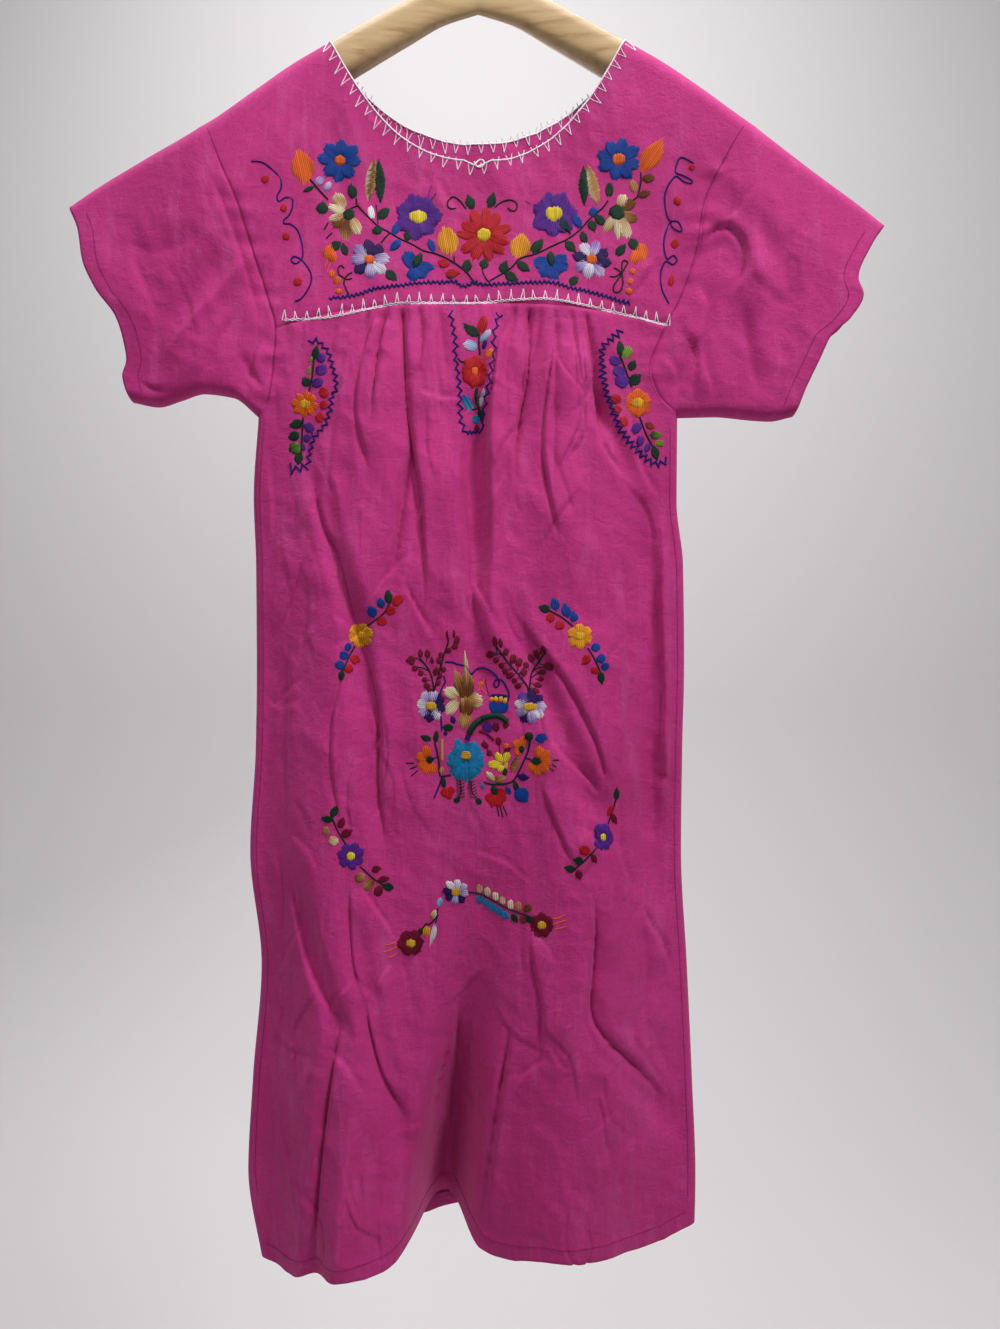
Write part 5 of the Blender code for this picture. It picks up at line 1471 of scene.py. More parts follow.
embroideryThread = threadFinish()
yokeWork = {
    "zigzags": [
        (1.7, 1.3, 4.6, [329, 298, 354, 295, 376, 288, 398, 285, 425, 282, 456, 281]),
        (1.7, 1.3, 4.6, [456, 281, 463, 286, 474, 282, 488, 284, 523, 282, 553, 282, 571, 287]),
        (1.7, 1.5, 4.6, [571, 287, 588, 291, 604, 295, 618, 300, 630, 303]),
    ],
    ("stem", 1.9): [[356, 198, 358, 205, 369, 217, 379, 226, 390, 232, 400, 238, 411, 243, 424, 250,
        436, 253, 449, 259, 465, 270, 476, 284], [608, 200, 603, 207, 590, 218, 580, 229, 568, 238,
        553, 245, 536, 253, 520, 258, 510, 268, 490, 280]],
    ("stem", 2.2): [[310, 179, 316, 186, 322, 193, 328, 199]],
    ("stem", 1.6): [[358, 205, 350, 208, 344, 212], [482, 267, 483, 272, 486, 278, 490, 282]],
    ("stem", 1.4): [[376, 204, 377, 213, 378, 223]],
    ("stem", 1.8): [[390, 232, 386, 236, 381, 242], [466, 208, 460, 200, 453, 196, 448, 200, 448, 206,
        452, 208, 456, 207], [495, 206, 502, 201, 511, 199, 517, 203, 516, 209, 512, 210, 508, 207],
        [349, 295, 344, 284, 344, 278, 339, 274, 338, 268, 341, 265, 344, 268], [344, 278, 348, 274,
        352, 272], [344, 278, 348, 279, 352, 278], [641, 172, 641, 181, 638, 195, 633, 200]],
    ("stem", 1.7): [[449, 259, 454, 262, 454, 256], [324, 229, 328, 222], [326, 238, 332, 232], [614, 267,
        618, 269, 622, 272, 625, 267, 628, 262, 624, 260, 622, 264, 622, 272], [610, 276, 616, 276,
        622, 272, 618, 279, 614, 285, 614, 291, 620, 291, 623, 283, 622, 272]],
    ("navy", 1.9): [[251, 161, 262, 162, 272, 169, 280, 178, 281, 187, 277, 196, 279, 201, 286, 197,
        292, 199, 292, 208, 288, 216, 284, 219, 284, 223, 291, 224, 298, 231, 302, 245, 302, 257, 296, 263,
        291, 260, 294, 256, 302, 260, 310, 271, 311, 281, 306, 292, 300, 299, 295, 301], [694, 163,
        682, 157, 677, 163, 676, 172, 683, 175, 692, 180, 691, 183, 684, 181, 676, 176, 669, 184, 665, 195,
        666, 210, 670, 220, 678, 221, 682, 229, 679, 231, 672, 226, 671, 221, 666, 232, 664, 244, 667, 258,
        674, 255, 677, 260, 673, 264, 666, 261, 661, 272, 662, 288, 669, 303]],
    ("orange", 0.8): [[328, 258, 324, 268], [331, 260, 327, 272], [642, 262, 644, 268], [645, 260,
        648, 266]],
    ("violet", 1): [[428, 197, 430, 188, 432, 185], [432, 199, 436, 192], [530, 203, 525, 200]],
    "orange leaf": [(20, 306, 182, -7, -32), (17, 642, 170, 21, -30), (11, 327, 259, 4, -15)],
    "green leaf": [(4.5, 314, 186, -12, 6), (9, 378, 218, 11, -11), (11, 321, 214, 2, -13),
        (9, 330, 248, 11, -6), (7, 342, 243, 5, 13), (8, 372, 231, 11, -3), (9, 386, 270, 10, 10),
        (8, 404, 240, 10, -14), (5, 446, 275, 8, 1), (9, 466, 272, 2, -14), (8.5, 482, 268, 4, -10),
        (9, 472, 208, -4, -14), (8.5, 489, 207, 5, -15), (9, 532, 252, 11, -14), (8, 517, 261, 13, 10),
        (9, 502, 273, 4, -13), (8.5, 504, 272, 14, 8), (8.5, 566, 240, 9, 12), (7, 582, 231, 4, 13),
        (8, 590, 219, 5, 12), (8, 595, 214, 11, 11), (8, 616, 255, 10, -11), (9, 630, 238, 8, 12),
        (8, 570, 284, 8, -8), (7.5, 421, 253, -8, 15, 0.0006), (7, 550, 250, 2, 16, 0.0006),
        (8, 560, 218, 10, 14, 0.0005)],
    "pale lilac oval": [(7, 316, 183, 7, -6)],
    "lilac pale oval": [(6, 324, 191, 6, -9)],
    "green pointed": [(10, 354, 198, -4, -16), (9, 609, 197, 1, -17)],
    "cream brown tan slant": [(12, 368, 202, 6, -46)],
    "green slant": [(12, 381, 204, -3, -47), (11, 585, 206, -2, -42)],
    "cream tan tan slant": [(13, 599, 206, -12, -43)],
    "white oval": [(6, 372, 218, -2, -12)],
    "orange oval": [(8, 334, 261, -4, -11), (5.5, 331, 277, 1, -7), (6.5, 336, 284, 2, -8),
        (6, 338, 294, 1, -6), (11, 644, 259, -4, -16), (9, 633, 262, 5, -12), (5.5, 632, 274, 2, -6),
        (5, 629, 284, 3, -6), (6, 628, 294, 2, -6)],
    "blue leaf": [(7.5, 398, 222, -5, 13), (7.5, 401, 239, -11, 11), (7, 429, 238, 5, 14),
        (8, 574, 214, 7, 14)],
    "amber amber leaf": [(19, 450, 254, -5, -28), (18, 518, 257, 5, -24)],
    "red leaf": [(8, 438, 262, 12, 2), (8.5, 445, 274, 15, -2), (5.5, 671, 286, 1, -12)],
    "blue oval": [(8, 591, 216, 5, -9)],
    "brown oval": [(8, 643, 180, 11, -4)],
    "brown leaf": [(7, 638, 196, 13, -5)],
    "tan oval": [(7, 636, 192, -4, -12)],
    "red oval": [(6.5, 262, 182, 6, -6), (6, 283, 212, 1, -8), (6.5, 286, 240, 0, -8),
        (7.5, 297, 286, 1, -9), (5.5, 690, 170, 4, -6), (6.5, 677, 205, 1, -9), (7, 672, 247, 6, -7)],
    "cream tan cream oval": [(11, 343, 209, -7, -16)],
    "cream petal": [(9.5, 346, 213, -18, -8), (9, 618, 216, 0, 23)],
    "tan cream petal": [(8.5, 344, 215, -16, 4), (12, 350, 216, 10, 18), (11, 620, 209, 4, -16),
        (13, 619, 214, 10, 24)],
    "tan brown brown petal": [(13, 346, 212, -14, 17)],
    "brown brown tan petal": [(14, 346, 216, 0, 24)],
    "green oval": [(10, 344, 218, 9, -8, 0.0005), (14, 611, 216, 13, -8, 0.0005)],
    "brown brown petal": [(12, 620, 210, 16, -10)],
    "tan brown petal": [(12, 620, 213, 18, 7)],
    "cream tan petal": [(10, 615, 215, -11, 17)],
    "blue petal": [(15, 414, 268, -9, -18), (14, 416, 266, -5, 15), (15, 415, 266, 13, 10),
        (14, 551, 262, -19, 0), (14, 551, 262, -11, 14), (15, 551, 262, 5, 18), (14, 551, 262, 18, 6),
        (12, 551, 262, 17, -6)],
    "blue pointed": [(11, 416, 265, 20, 2)],
    "flowers": [
        ((484, 234), 27.5, 11, 6, "red", ("yellow", 12, 12)),
        ((340, 160), 22.5, 8, 4, "blue", ("orange", 10, 10)),
        ((619, 159), 22.5, 8, 16, "blue", ("orange", 11.5, 12.5)),
        ((418, 216), 24.5, 7, -14, "violet", ("yellow", 16, 13), "pointed", 1, 1.3),
        ((554, 213), 24, 7, -22, "violet", ("yellow", 15, 15.5), "pointed", 1, 1.3),
        ((369, 259), 20.5, 8, -48, ["pale lilac", "plum", "plum", "lilac pale", "white pale",
            "lilac pale lilac", "plum", "pale lilac"], ("orange", 9, 9.5)),
        ((592, 259), 20, 8, -30, ["white pale", "pale lilac", "plum", "plum plum", "lilac pale",
            "white pale", "pale lilac", "plum"], ("orange", 9.5, 10)),
    ],
}
embroider("yokeEmbroidery", 11, 0.08, yokeWork)


panelWork = {
    "zigzags": [
        (1.5, 1.7, 9, [451, 310, 453, 326, 455, 341, 456, 356, 458, 374, 460, 388, 460, 404, 461, 418,
            463, 427, 467, 433]),
        (1.6, 1.4, 4, [466, 432, 473, 432, 481, 432]),
        (1.5, 1.5, 11, [482, 431, 482, 423, 484, 407, 488, 388, 491, 370, 494, 352, 494, 337, 496, 325,
            500, 315]),
    ],
    ("stem", 2.2): [[479, 334, 479, 343, 480, 354]],
    ("stem", 1.7): [[458, 358, 461, 361, 465, 362]],
    ("green", 3.4): [[477, 388, 476, 397, 478, 405]],
    ("stem", 2.4): [[478, 405, 480, 411, 483, 421]],
    ("stem", 1.6): [[478, 408, 474, 409, 472, 409]],
    "cords": [
        ("navy", 1.4, [496, 312, 500, 317, 503, 315], False),
    ],
    "green leaf": [(9, 479, 336, -15, -12), (6, 480, 409, 2, 11)],
    "red oval": [(8.5, 480, 332, 5, -16)],
    "sky pale oval": [(9.5, 476, 347, -12, -4), (6, 481, 341, 9, -11)],
    "navy oval": [(4, 483, 349, 3, -9)],
    "orange oval": [(6, 486, 358, 6, -9)],
    "white pale oval": [(3.6, 480, 406, 4, -18)],
    "blue turquoise sky oval": [(8, 463, 395, 9, 15)],
    "turquoise oval": [(8, 472, 419, 8, 0)],
    "burgundy leaf": [(6, 474, 428, 6, 0)],
    "flowers": [
        ((475, 371), 17.5, 8, 10, "red", ("orange", 6, 9), "petal", 0.76, 1.4),
    ],
}
sprayWork = {
    "zigzags": [
        (1.6, 1.7, 7, [309, 342, 315, 340, 321, 343, 326, 349, 331, 360, 334, 372, 336, 386, 331, 400,
            329, 415, 322, 428, 313, 439, 310, 452, 308, 464]),
        (1.6, 3.2, 7, [307, 466, 301, 468, 295, 470, 289, 468]),
        (1.7, 2.3, 6.4, [622, 330, 614, 337, 606, 343, 602, 352, 602, 366, 604, 382, 608, 396, 614, 413,
            620, 428, 629, 440, 639, 451, 648, 460, 658, 464, 667, 460]),
    ],
    ("stem", 2): [[314, 357, 312, 376, 309, 391], [303, 418, 302, 434, 301, 455], [620, 355, 626, 370,
        632, 387], [640, 417, 646, 433, 654, 448]],
    "green leaf": [(6.5, 314, 359, 3, -13), (8, 308, 386, -4, -9), (8, 302, 422, -12, 4),
        (8, 299, 434, -11, 4), (7.5, 300, 453, -3, 11), (6.5, 621, 355, -1, -15), (7, 630, 370, 5, -10),
        (9.5, 631, 384, 9, -10), (7, 654, 446, 3, 14)],
    "lime leaf": [(3, 310, 362, 2, -6), (3, 308, 375, 2, -9)],
    "violet oval": [(7.5, 318, 361, 6, -6), (9, 316, 372, 10, -4), (8, 313, 385, 9, -5),
        (7.5, 306, 423, 6, 9), (7, 304, 436, 6, 4), (4, 302, 443, 2, 7), (8, 620, 362, -10, -3),
        (9, 624, 374, -10, -6), (10.5, 628, 384, -12, -6), (7.5, 640, 424, -7, 8), (6, 642, 436, -3, 9),
        (5, 649, 443, -3, 9)],
    "red oval": [(9, 320, 394, 8, -3), (7, 320, 405, 8, 0), (7.5, 317, 414, 6, 7), (8, 620, 401, -8, -5),
        (6.5, 620, 412, -5, -6), (6.5, 626, 426, -4, -10)],
    "lime green oval": [(10, 300, 446, -10, 4)],
    "lime oval": [(8, 624, 358, 6, -11), (5.5, 656, 443, 8, 0)],
    "green red leaf": [(6, 646, 423, 8, 5)],
    "green lime leaf": [(7, 650, 435, 11, -1)],
    "flowers": [
        ((305, 404), 14, 8, 8, "orange", ("gold", 9, 9)),
        ((638, 403), 14.6, 6, 0, "orange", ("gold", 10, 10), "petal", 0.86, 1.3),
    ],
}
arcWork = {
    ("stem", 1.8): [[390, 602, 384, 613, 374, 621, 366, 627], [355, 646, 349, 657, 343, 671], [546, 609,
        560, 616, 573, 626], [588, 648, 594, 658, 600, 671], [332, 817, 338, 831, 346, 844], [360, 866,
        373, 878, 385, 886], [468, 892, 480, 894, 492, 900, 507, 908, 523, 914, 534, 918], [420, 932,
        426, 924, 430, 924, 436, 917, 438, 908]],
    ("stem", 1.7): [[616, 799, 612, 812, 608, 824], [596, 848, 584, 861, 573, 870]],
    ("orange", 1): [[385, 945, 391, 944, 397, 942], [384, 952, 390, 950, 397, 947], [389, 957, 393, 956,
        398, 952], [553, 918, 558, 918, 565, 914], [554, 924, 559, 922, 566, 920], [555, 929, 560, 928,
        566, 926]],
    ("navy", 1.6): [[438, 914, 436, 921, 434, 928]],
    "green leaf": [(7, 389, 604, -1, -14), (5.5, 342, 670, -1, 11), (7, 550, 610, -11, -3),
        (6, 600, 672, 2, 12), (6.5, 332, 817, 5, -11), (6, 333, 820, -11, -2), (7, 383, 886, 11, 2),
        (5, 616, 800, 1, -12), (7, 583, 862, -9, -3), (6.5, 575, 870, -10, -3), (5.5, 512, 914, 5, 8),
        (6, 527, 916, 5, 7), (5, 419, 935, 3, -7)],
    "blue leaf": [(7, 382, 608, -2, -10), (8.5, 374, 617, -4, -11), (8, 556, 610, -2, -12),
        (8, 568, 617, -4, -13), (7, 575, 622, -2, -10)],
    "red oval": [(8, 393, 604, 9, -7), (7.5, 386, 612, 9, -3), (7.5, 377, 620, 9, 2), (7.5, 352, 656, 6, 7),
        (7.5, 346, 665, 5, 7), (7, 554, 616, -7, 4), (8, 589, 852, -9, -4)],
    "blue oval": [(7, 351, 648, -6, -2), (7, 348, 657, -8, -3), (7.5, 344, 667, -8, -4),
        (7, 593, 651, 5, -7), (7, 598, 662, 6, -7), (6.5, 602, 669, 6, -5)],
    "red leaf": [(8, 563, 622, -7, 7), (7, 590, 656, -8, 8), (7, 597, 668, -5, 5), (5, 613, 806, -5, 9)],
    "tan oval": [(5, 328, 834, -3, -7), (5, 519, 910, -1, -8)],
    "cream tan oval": [(7.5, 337, 843, -7, -5), (5.2, 480, 892, -1, -7), (5, 503, 904, -1, -7)],
    "burgundy leaf": [(6, 339, 828, 5, -10), (7, 342, 836, 10, -6), (6, 372, 870, 9, -2),
        (5.5, 378, 880, 11, -2), (5, 612, 814, 4, 10), (5, 592, 854, 4, 9), (6, 578, 870, 2, 9)],
    "tan brown oval": [(7.5, 364, 875, -8, 5)],
    "brown tan oval": [(7.5, 373, 881, -8, 7)],
    "burgundy oval": [(7, 380, 886, -3, 10)],
    "cream oval": [(5.2, 488, 896, -1, -8), (5.2, 496, 900, -1, -8), (5, 511, 909, -1, -9)],
    "brown oval": [(6, 524, 910, 7, -4)],
    "turquoise oval": [(6, 478, 896, 4, 7), (6, 485, 900, 4, 7), (6, 491, 904, 4, 7), (6, 497, 908, 4, 7),
        (6, 503, 912, 4, 7)],
    "brown burgundy oval": [(6, 520, 919, 7, 1)],
    "amber oval": [(6.5, 426, 936, 1, -9)],
    "white leaf": [(3.6, 435, 924, -5, 22), (2.6, 436, 926, -2, 13)],
    "tan cream oval": [(5, 432, 918, 4, -7)],
    "sky oval": [(4.6, 439, 906, 2, -8)],
    "flowers": [
        ((361, 635), 13, 6, 12, "amber", ("gold", 8, 8), "petal", 1, 1.15),
        ((580, 636), 13, 6, -8, "amber", ("gold", 8, 8), "petal", 1, 1.15),
        ((351, 856), 14.5, 7, 20, "violet", ("yellow", 7, 8)),
        ((603, 837), 14.5, 7, 14, "violet", ("yellow", 5, 7), "petal", 0.66, 1.3),
        ((411, 943), 14, 6, 28, "burgundy", ("gold", 8, 8), "petal", 1, 1.2),
        ((542, 925), 13, 7, 0, "burgundy", ("gold", 7.5, 8), "petal", 1, 1.2),
        ((456, 892), 13.5, 8, -38, ["pale white", "pale white", "lilac pale", "lilac pale", "plum",
            "pale lilac", "plum", "plum"], ("gold", 8, 8)),
    ],
}
bouquetWork = {
    ("stem", 1.9): [[434, 693, 433, 683, 429, 670, 420, 658], [434, 691, 437, 681, 441, 666, 444, 655,
        448, 643, 448, 637], [529, 694, 527, 686, 519, 675, 511, 666, 502, 654, 496, 646], [529, 694,
        530, 683, 532, 672, 538, 663, 543, 655]],
    ("stem", 1.3): [[429, 671, 423, 668, 417, 667], [424, 663, 416, 658, 412, 660], [446, 650, 452, 647,
        455, 640], [532, 672, 538, 668, 548, 667], [531, 678, 537, 674, 543, 672], [519, 675, 522, 670,
        525, 666], [502, 655, 496, 653, 491, 654]],
    ("navy", 2): [[445, 662, 452, 662, 457, 664, 465, 666, 470, 673, 472, 674, 477, 669, 485, 668, 492, 672,
        498, 678, 499, 684, 496, 687, 494, 684, 496, 680, 502, 680, 506, 686, 509, 694, 508, 701]],
    ("navy", 1.8): [[444, 676, 445, 682, 442, 688, 440, 698, 441, 715, 442, 730], [442, 777, 439, 786,
        434, 798]],
    ("stem", 2): [[435, 743, 437, 751, 439, 762, 440, 775, 444, 776, 451, 775], [530, 741, 528, 751,
        525, 758, 521, 767, 516, 777, 511, 782, 502, 784, 491, 784, 484, 782]],
    ("stem", 1.2): [[430, 760, 434, 758, 438, 757], [460, 779, 461, 791, 458, 799], [471, 780, 472, 791,
        477, 799]],
    ("stem", 1.7): [[525, 758, 531, 759]],
    ("stem", 1.4): [[406, 763, 414, 763], [410, 769, 417, 766], [411, 776, 415, 773, 418, 770], [553, 760,
        559, 760], [552, 764, 556, 767], [550, 768, 554, 771]],
    ("orange", 0.9): [[479, 682, 482, 689, 487, 694], [484, 678, 481, 688, 478, 690]],
    ("burgundy", 1): [[485, 679, 487, 688, 489, 696]],
    ("burgundy", 3): [[479, 731, 486, 733, 494, 740]],
    ("burgundy", 1.3): [[484, 740, 488, 750, 494, 756, 497, 760], [499, 742, 500, 752, 502, 758], [509, 748,
        504, 753, 502, 758]],
    ("tan", 2.6): [[442, 739, 442, 747, 442, 760]],
    ("stem", 1.5): [[497, 806, 499, 816], [503, 806, 507, 815], [500, 806, 503, 817]],
    "cords": [
        ("green", 6.2, [469, 735, 471, 730, 477, 722, 487, 717, 498, 716, 508, 722], True, 0.0002),
        ("navy", 5.2, [467, 740, 468, 736], False, 0.0002),
    ],
    "burgundy leaf": [(9, 416, 660, -10, 1), (5, 421, 658, -1, -10), (3.4, 432, 664, 0, -8),
        (6, 446, 653, 5, -5), (6, 452, 649, 6, -5), (3, 454, 639, 0, -10), (2.6, 447, 638, 0, -8),
        (4.2, 501, 648, -1, -10)],
    "burgundy berry": [(5.5, 427, 658, 1, -8), (5.5, 418, 669, -6, -1), (5.5, 424, 674, -6, -2),
        (5.5, 434, 675, 4, -7), (5, 428, 680, -6, -1), (5, 430, 688, -6, -4), (5, 432, 694, -4, -6),
        (4.2, 440, 664, -2, -7), (4.5, 442, 658, -2, -6), (5, 456, 645, 2, -9), (4.6, 442, 672, 3, -5),
        (4.6, 436, 686, 4, -6), (4.2, 438, 678, 4, -4), (5, 496, 647, -2, -10), (6.5, 494, 655, -8, -1),
        (5.5, 498, 658, -4, 4), (5.5, 504, 664, -5, 3), (5, 505, 656, 2, -8), (5.5, 508, 670, -6, 2),
        (5.8, 512, 664, 2, -10), (5.5, 514, 674, -8, 3), (5.8, 518, 667, 2, -9), (4.6, 517, 679, -5, 3),
        (5.8, 523, 676, 2, -8), (5.4, 521, 684, -6, 4), (5.6, 542, 656, 2, -10), (5.4, 538, 659, -3, -9),
        (5.6, 533, 662, -4, -8), (6.6, 544, 665, 10, 3), (5, 539, 672, 7, 0), (5.2, 528, 668, -4, -6),
        (4.4, 538, 679, 6, 0), (5, 534, 684, 8, 2), (4.6, 532, 689, 7, 3)],
    "orange oval": [(4.5, 479, 687, 3, -5), (5.2, 504, 748, 4, -4)],
    "violet oval": [(10, 483, 725, 9, 5)],
    "burgundy oval": [(6.5, 496, 732, 0, -10), (5.5, 504, 728, 4, -6), (5.6, 488, 748, -6, -6),
        (5.6, 492, 754, -6, -2), (5.6, 499, 746, -1, -9), (4.4, 504, 751, 7, -3)],
    "navy leaf": [(5.5, 454, 724, -2, -9), (4, 446, 736, -1, -6), (7, 518, 776, 11, 2)],
    "green leaf": [(7, 454, 728, -12, -1), (6, 432, 740, -12, -4), (5.5, 435, 743, 2, -13),
        (5.5, 518, 792, -4, -12), (6.5, 426, 761, 8, -3, 0.0005), (7.5, 531, 760, 11, 2, 0.0005),
        (5, 505, 776, 0, -9, 0.0004), (5.5, 521, 753, 1, -9, 0.0005), (5, 444, 788, -1, -12, 0.0004),
        (6.5, 493, 785, 3, 11, 0.0005)],
    "tan oval": [(4.5, 441, 774, 1, -7)],
    "green oval": [(8, 528, 741, 2, -9), (5.5, 460, 798, -6, 4), (5.5, 476, 798, 5, 6)],
    "blue leaf": [(9, 535, 740, 13, -4), (5.6, 510, 794, -4, -8), (14, 516, 788, 12, 14)],
    "cream tan leaf": [(6, 487, 772, 8, 10)],
    "brown tan leaf": [(7, 494, 782, 12, -6)],
    "brown tan slant": [(8, 511, 773, 7, -17)],
    "turquoise leaf": [(3, 483, 790, -1, -8)],
    "orange petal": [(9, 520, 749, -6, -9), (8.5, 521, 749, 3, -13), (8, 520, 750, -6, 2),
        (7, 520, 750, -4, 6), (10, 428, 758, -3, -13), (10, 427, 759, -11, -4), (9, 427, 761, -9, 7),
        (10, 429, 762, -5, 12), (10, 431, 762, 3, 12), (10, 538, 759, 2, -13), (10, 539, 760, 11, -9),
        (10, 540, 761, 12, 1), (10, 539, 763, 9, 9), (10, 537, 763, 1, 13), (9, 535, 763, -6, 7)],
    "brown tan cream leaf": [(5, 468, 694, -3, -42)],
    "brown brown tan leaf": [(12, 468, 700, -1, -32), (10, 464, 700, -9, -31)],
    "tan cream cream petal": [(13, 459, 698, -15, -10), (12, 458, 700, -12, 14)],
    "brown tan cream petal": [(17, 467, 702, 16, -3)],
    "brown tan tan pointed": [(13, 468, 708, -6, 23)],
    "tan brown brown oval": [(13, 466, 696, 1, 21, 0.0003)],
    "blue petal": [(12, 491, 701, 8, 13), (12, 506, 700, -6, 14)],
    "navy oval": [(4, 490, 696, 18, 0)],
    "orange yellow oval": [(4, 492, 702, 0, -5, 0.0004), (4, 496, 702, 0, -6, 0.0004),
        (4, 500, 703, 1, -7, 0.0004), (4, 504, 704, 2, -6, 0.0004)],
    "turquoise pointed": [(11, 463, 757, -7, -19), (11, 470, 757, 8, -17)],
    "gold oval": [(8, 460, 755, 12, 0, 0.0006)],
    "yellow petal": [(8.5, 502, 763, -6, -11), (8.5, 504, 763, 4, -11), (9, 502, 765, -14, -1),
        (8.5, 502, 765, -3, 7), (7, 504, 765, 4, 1)],
    "red petal": [(8, 447, 787, -5, 10), (8, 448, 787, 1, 13), (8, 449, 787, 5, 7), (10, 494, 793, -8, 9),
        (10, 495, 793, -3, 15), (10, 496, 793, 4, 15), (9, 497, 792, 9, 10), (9, 497, 791, 9, 2)],
    "flowers": [
        ((431, 706), 16.5, 8, -34, ["lilac pale", "lilac pale", "plum", "plum", "pale white", "plum",
            "lilac pale", "pale white"], ("gold", 11, 9), "petal", 0.88, 1.3),
        ((530, 707), 17.5, 9, -34, ["lilac violet", "plum", "plum", "lilac pale", "pale white",
            "pale lilac", "plum", "pale lilac", "pale white"], ("gold", 13, 9), "petal", 0.95, 1.3),
        ((466, 761), 21.5, 13, 14, "turquoise", None, "petal", 0.95, 1.75),
    ],
    "ticks": [
        (460, 781, 461, 797, 8),
        (471, 782, 474, 797, 8),
    ],
}
embroider("panelEmbroidery", 12, 0.08, panelWork)
embroider("sprayEmbroidery", 13, 0.13, sprayWork)
embroider("arcEmbroidery", 14, 0.13, arcWork)
embroider("bouquetEmbroidery", 15, 0.05, bouquetWork)

# White edging: a rope along the neck, thread loops beside it, and a blanket stitch on the yoke's seam
edging = {
    "frontNeck": [329, 41, 344, 67, 355, 86, 373, 111, 396, 132, 419, 146, 442, 154, 461, 158, 478, 163,
        491, 158, 507, 154, 530, 147, 553, 135, 575, 115, 598, 86, 610, 65, 619, 51, 627, 40],
    "backNeck": [357, 84, 369, 98, 387, 118, 410, 132, 442, 141, 479, 143, 511, 139, 541, 128, 571, 111,
        589, 97],
    "yokeSeam": [284, 320, 328, 317, 367, 309, 399, 303, 438, 302.5, 477, 302.5, 516, 299.5, 549, 298.5,
        581, 304, 620, 313, 668, 325],
    "notchKnot": [474, 161, 477, 166, 482, 166, 484, 161, 480, 159, 475, 163],
    "loopGap": 13.2,
    "loopReach": 11.0,
    "loopLean": (0.45, 0.1),
    "toothGap": 11.4,
    "toothReach": 10.0,
    "picotGap": 7.0,
    "picotReach": 4.5,
    "seamWave": 0.9,
    "seamPitch": 5.7,
    "ropeRadius": 0.0007,
    "ropeTurn": 0.0052,
    "ropeReach": 0.998,
}


def loops(needle, path, gap, reach, spread, lean, side=1):
    # narrow thread loops standing on a path: two legs that meet in a point. lean: 1 is straight down
    points = evenly(path, gap)
    for spot, run, across, down in zip(points, *sideways(points), np.linspace(*lean, len(points))):
        out = side * across * (1 - down) + np.array((0.0, side)) * down
        out = out / np.hypot(*out) * reach * needle.chance.uniform(0.78, 1.18)
        out = spot + out + run * needle.chance.uniform(-1.6, 1.6)
        for foot in (spot - run * spread, spot + run * spread):
            knee = 0.5 * (foot + out) + needle.chance.uniform(-0.5, 0.5, 2)
            needle.line("edge", 1.0, [foot, knee, out], False, 0.00006)


def rope(name, face):
    # a two-ply thread laid along the neck's cut edge
    run, radius = np.linspace(-1, 1, 560), edging["ropeRadius"]
    x = outline["neckHalfWidth"] * np.sin(0.5 * np.pi * run) * edging["ropeReach"]
    z = neckLine(x, face)
    middle = wallPoints(x, z, face)
    middle[:, 2] += 0.2 * radius
    along = np.cumsum(np.linalg.norm(np.gradient(middle, axis=0), axis=1))
    turn = np.linspace(0, 2 * np.pi, 12, endpoint=False)
    phase = 2 * np.pi * along[:, None] / edging["ropeTurn"]
    swell = radius * (0.86 + 0.2 * np.abs(np.cos(turn[None] - 0.5 * phase)))
    swell = swell * (1 + 0.1 * np.sin(7.3 * phase[:, :1]) * np.sin(1.9 * phase[:, :1]))
    piece = tube(name, middle, swell, embroideryThread)
    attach(piece, "root")
    piece.data.uv_layers[0].name = "strand"
    tint = piece.data.attributes.new("threadColour", "FLOAT_COLOR", "POINT")
    for spot in tint.data:
        spot.color = (*threads["edge"], 1.0)


frontLoops = Needlework("frontNeckLoops", 21)
loops(frontLoops, edging["frontNeck"], edging["loopGap"], edging["loopReach"], 3.2, edging["loopLean"])
frontLoops.line("white", 1.6, edging["notchKnot"], False, 0.0004)
frontLoops.sew()
for name, inside in (("backNeckLoops", False), ("innerNeckLoops", True)):
    backLoops = Needlework(name, 22, back, inside)
    loops(backLoops, edging["backNeck"], edging["loopGap"] * 0.92, edging["loopReach"], 2.8, (0.6, 0.6))
    for spot in evenly(edging["backNeck"], edging["picotGap"]):  # short stray spikes
        aside, up = backLoops.chance.uniform(-2.2, 2.2), backLoops.chance.uniform(0.4, 1.0)
        aim = spot + np.array((aside, -edging["picotReach"] * up))
        backLoops.line("edge", 0.8, [spot, aim], False, 0.0001)
    backLoops.sew()
yokeStitch = Needlework("yokeBlanketStitch", 23)
seam = smoothPath(edging["yokeSeam"], 2.0)
turn = np.arange(len(seam)) * 2.0 * math.pi / edging["seamPitch"]
wave = together(np.zeros(len(seam)), edging["seamWave"] * np.sin(turn))
yokeStitch.line("edge", 1.2, list(seam + wave), True, 0.0001)
yokeStitch.line("edge", 1.2, list(seam - wave), True, 0.0002)
loops(yokeStitch, edging["yokeSeam"], edging["toothGap"], edging["toothReach"], 1.9, (0.9, 0.9), -1)
yokeStitch.sew()
rope("frontNeckRope", front)
rope("backNeckRope", back)


# Topstitching: hem, side edges, armholes and cuffs, in a thread darker than the dress: part the thread's
# colour, part painted shade of the seam lines
topstitch = {
    "gap": 3.1,
    "length": 0.72,
    "width": 0.9,
    "hem": 0.0125,
    "side": 0.0075,
    "armhole": 0.0016,
    "cuff": 0.013,
    "hemEnds": (-0.184, 0.182),
    "sideFoot": -1.145,
    "steps": 30,
}


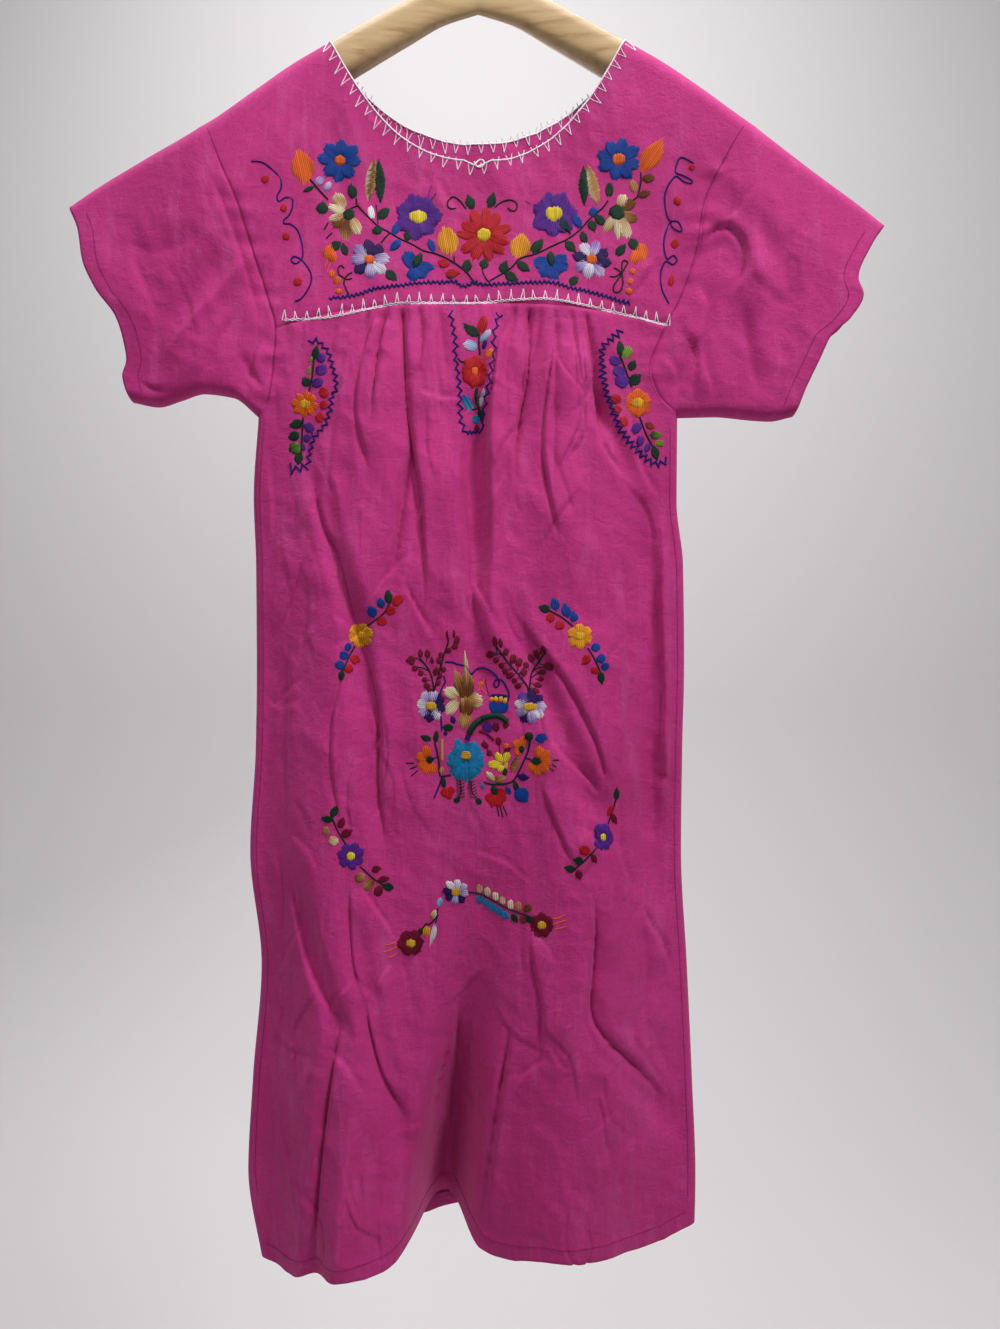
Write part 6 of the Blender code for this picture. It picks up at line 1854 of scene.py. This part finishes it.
def topstitching(name, seed, face):
    needle = Needlework(name, seed, face)
    x = np.linspace(*topstitch["hemEnds"], topstitch["steps"])
    seams = [(x, hemCurve[face](x) + topstitch["hem"])]
    for side, key in sideName.items():
        level, cuffLevels = underarmPlace[side][1], cuffTable[key]["z"]
        for curve, inset, high, low in (
            (bodyCurve[key], "side", level - 0.012, topstitch["sideFoot"]),
            (armholeCurve[side], "armhole", armholeTop[side] - 0.01, level + 0.012),
            (cuffCurve[side], "cuff", cuffLevels[0] - 0.01, cuffLevels[-1] + 0.006),
        ):
            z = np.linspace(high, low, topstitch["steps"])
            seams.append((side * (curve(z) - topstitch[inset]), z))
    for x, z in seams:
        path = evenly(toPixels(x, z, face), topstitch["gap"])
        for start, end in zip(path, path[1:]):
            end = start + (end - start) * topstitch["length"]
            needle.line("seam", topstitch["width"], [start, end], False)
    needle.sew()


topstitching("frontTopstitching", 31, front)
topstitching("backTopstitching", 32, back)

# Each sheet's cut, as it shows: flat width and length in metres, and the area of the cut
clothCuts = [
    (frontYoke, (0.464, 0.300), "draped", ["hangerWood"]),
    (backYoke, (0.464, 0.300), "draped", ["hangerWood"]),
    (frontSkirt, (0.460, 0.840), "gathered", ["frontYoke"]),
    (backSkirt, (0.460, 0.840), "gathered", ["backYoke"]),
    (leftSleeve, (0.520, 0.150), "hung", ["frontYoke", "backYoke"]),
    (rightSleeve, (0.540, 0.150), "hung", ["frontYoke", "backYoke"]),
]
clothAreas = {"frontYoke": 0.096, "backYoke": 0.100}
for piece, flat, held, restsOn in clothCuts:
    clothAreas.get(piece.name)
    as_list(restsOn)

# Camera, light, floor and backdrop
cameraData = bpy.data.cameras.new("photoCamera")
cameraData.sensor_fit = "VERTICAL"
cameraData.sensor_height = photoCamera["filmHeight"]
cameraData.lens = photoCamera["filmHeight"] * photoCamera["focalPixels"] / photoCamera["pixelHeight"]
cameraData.clip_start = 0.01
camera = placed("photoCamera", cameraData)
camera.location = photoCamera["place"]
camera.rotation_euler = (math.radians(90), 0, 0)
bpy.context.scene.camera = camera

studio = {
    "floor": -2.0,
    "wall": 2.6,
    "halfWidth": 6.0,
    "cove": 1.2,
    "colour": linear(214, 211, 212),
    "sky": (0.93, 0.94, 0.96),
    "skyStrength": 0.19,
}


def backdropPiece():
    shape = bmesh.new()
    wide, cove = studio["halfWidth"], studio["cove"]
    path = [(-4.0, studio["floor"]), (studio["wall"] - cove, studio["floor"])]
    for turn in np.linspace(0, 0.5 * math.pi, 13)[1:]:
        y = studio["wall"] - cove + cove * math.sin(turn)
        path.append((y, studio["floor"] + cove * (1 - math.cos(turn))))
    path.append((studio["wall"], 4.0))
    verts = [shape.verts.new((-wide, y, z)) for y, z in path]
    edges = [shape.edges.new(pair) for pair in zip(verts, verts[1:])]
    swept = bmesh.ops.extrude_edge_only(shape, edges=edges)["geom"]
    moved = [part for part in swept if isinstance(part, bmesh.types.BMVert)]
    bmesh.ops.translate(shape, verts=moved, vec=(2 * wide, 0, 0))
    finish = Finish("paleBackdrop", {"Base Color": (*studio["colour"], 1.0), "Roughness": 0.9})
    meshPiece("backdrop", shape, finish.material)


backdropPiece()
lamps = [  # name, place, what it points at, size in metres, watts
    ("keyLamp", (1.05, -1.00, 1.00), (0.0, 0.0, -0.5), 0.4, 33.5),
    ("fillLamp", (-1.2, -1.4, 0.9), (0.0, 0.0, -0.4), 1.1, 8.0),
    ("topLamp", (-0.1, -0.65, 1.15), (0.0, 0.0, -0.4), 0.7, 12.0),
    ("backLamp", (-0.9, 1.9, 0.2), (0.0, 0.0, -0.7), 1.3, 18.0),
    ("wallLamp", (-0.1, 0.6, 1.8), (0.3, 2.6, -0.5), 2.4, 60.0),
]
for name, place, target, size, power in lamps:
    lamp = bpy.data.lights.new(name, "AREA")
    lamp.size = size
    lamp.energy = power
    lampObject = placed(name, lamp)
    lampObject.location = place
    aim = Vector(target) - Vector(place)
    lampObject.rotation_euler = aim.to_track_quat("-Z", "Y").to_euler()

world = bpy.data.worlds.new("studioSky")
world.use_nodes = True
sky = world.node_tree.nodes["Background"].inputs
sky["Color"].default_value = (*studio["sky"], 1.0)
sky["Strength"].default_value = studio["skyStrength"]
bpy.context.scene.world = world
bpy.context.scene.view_settings.view_transform = "Standard"
print("studio made")
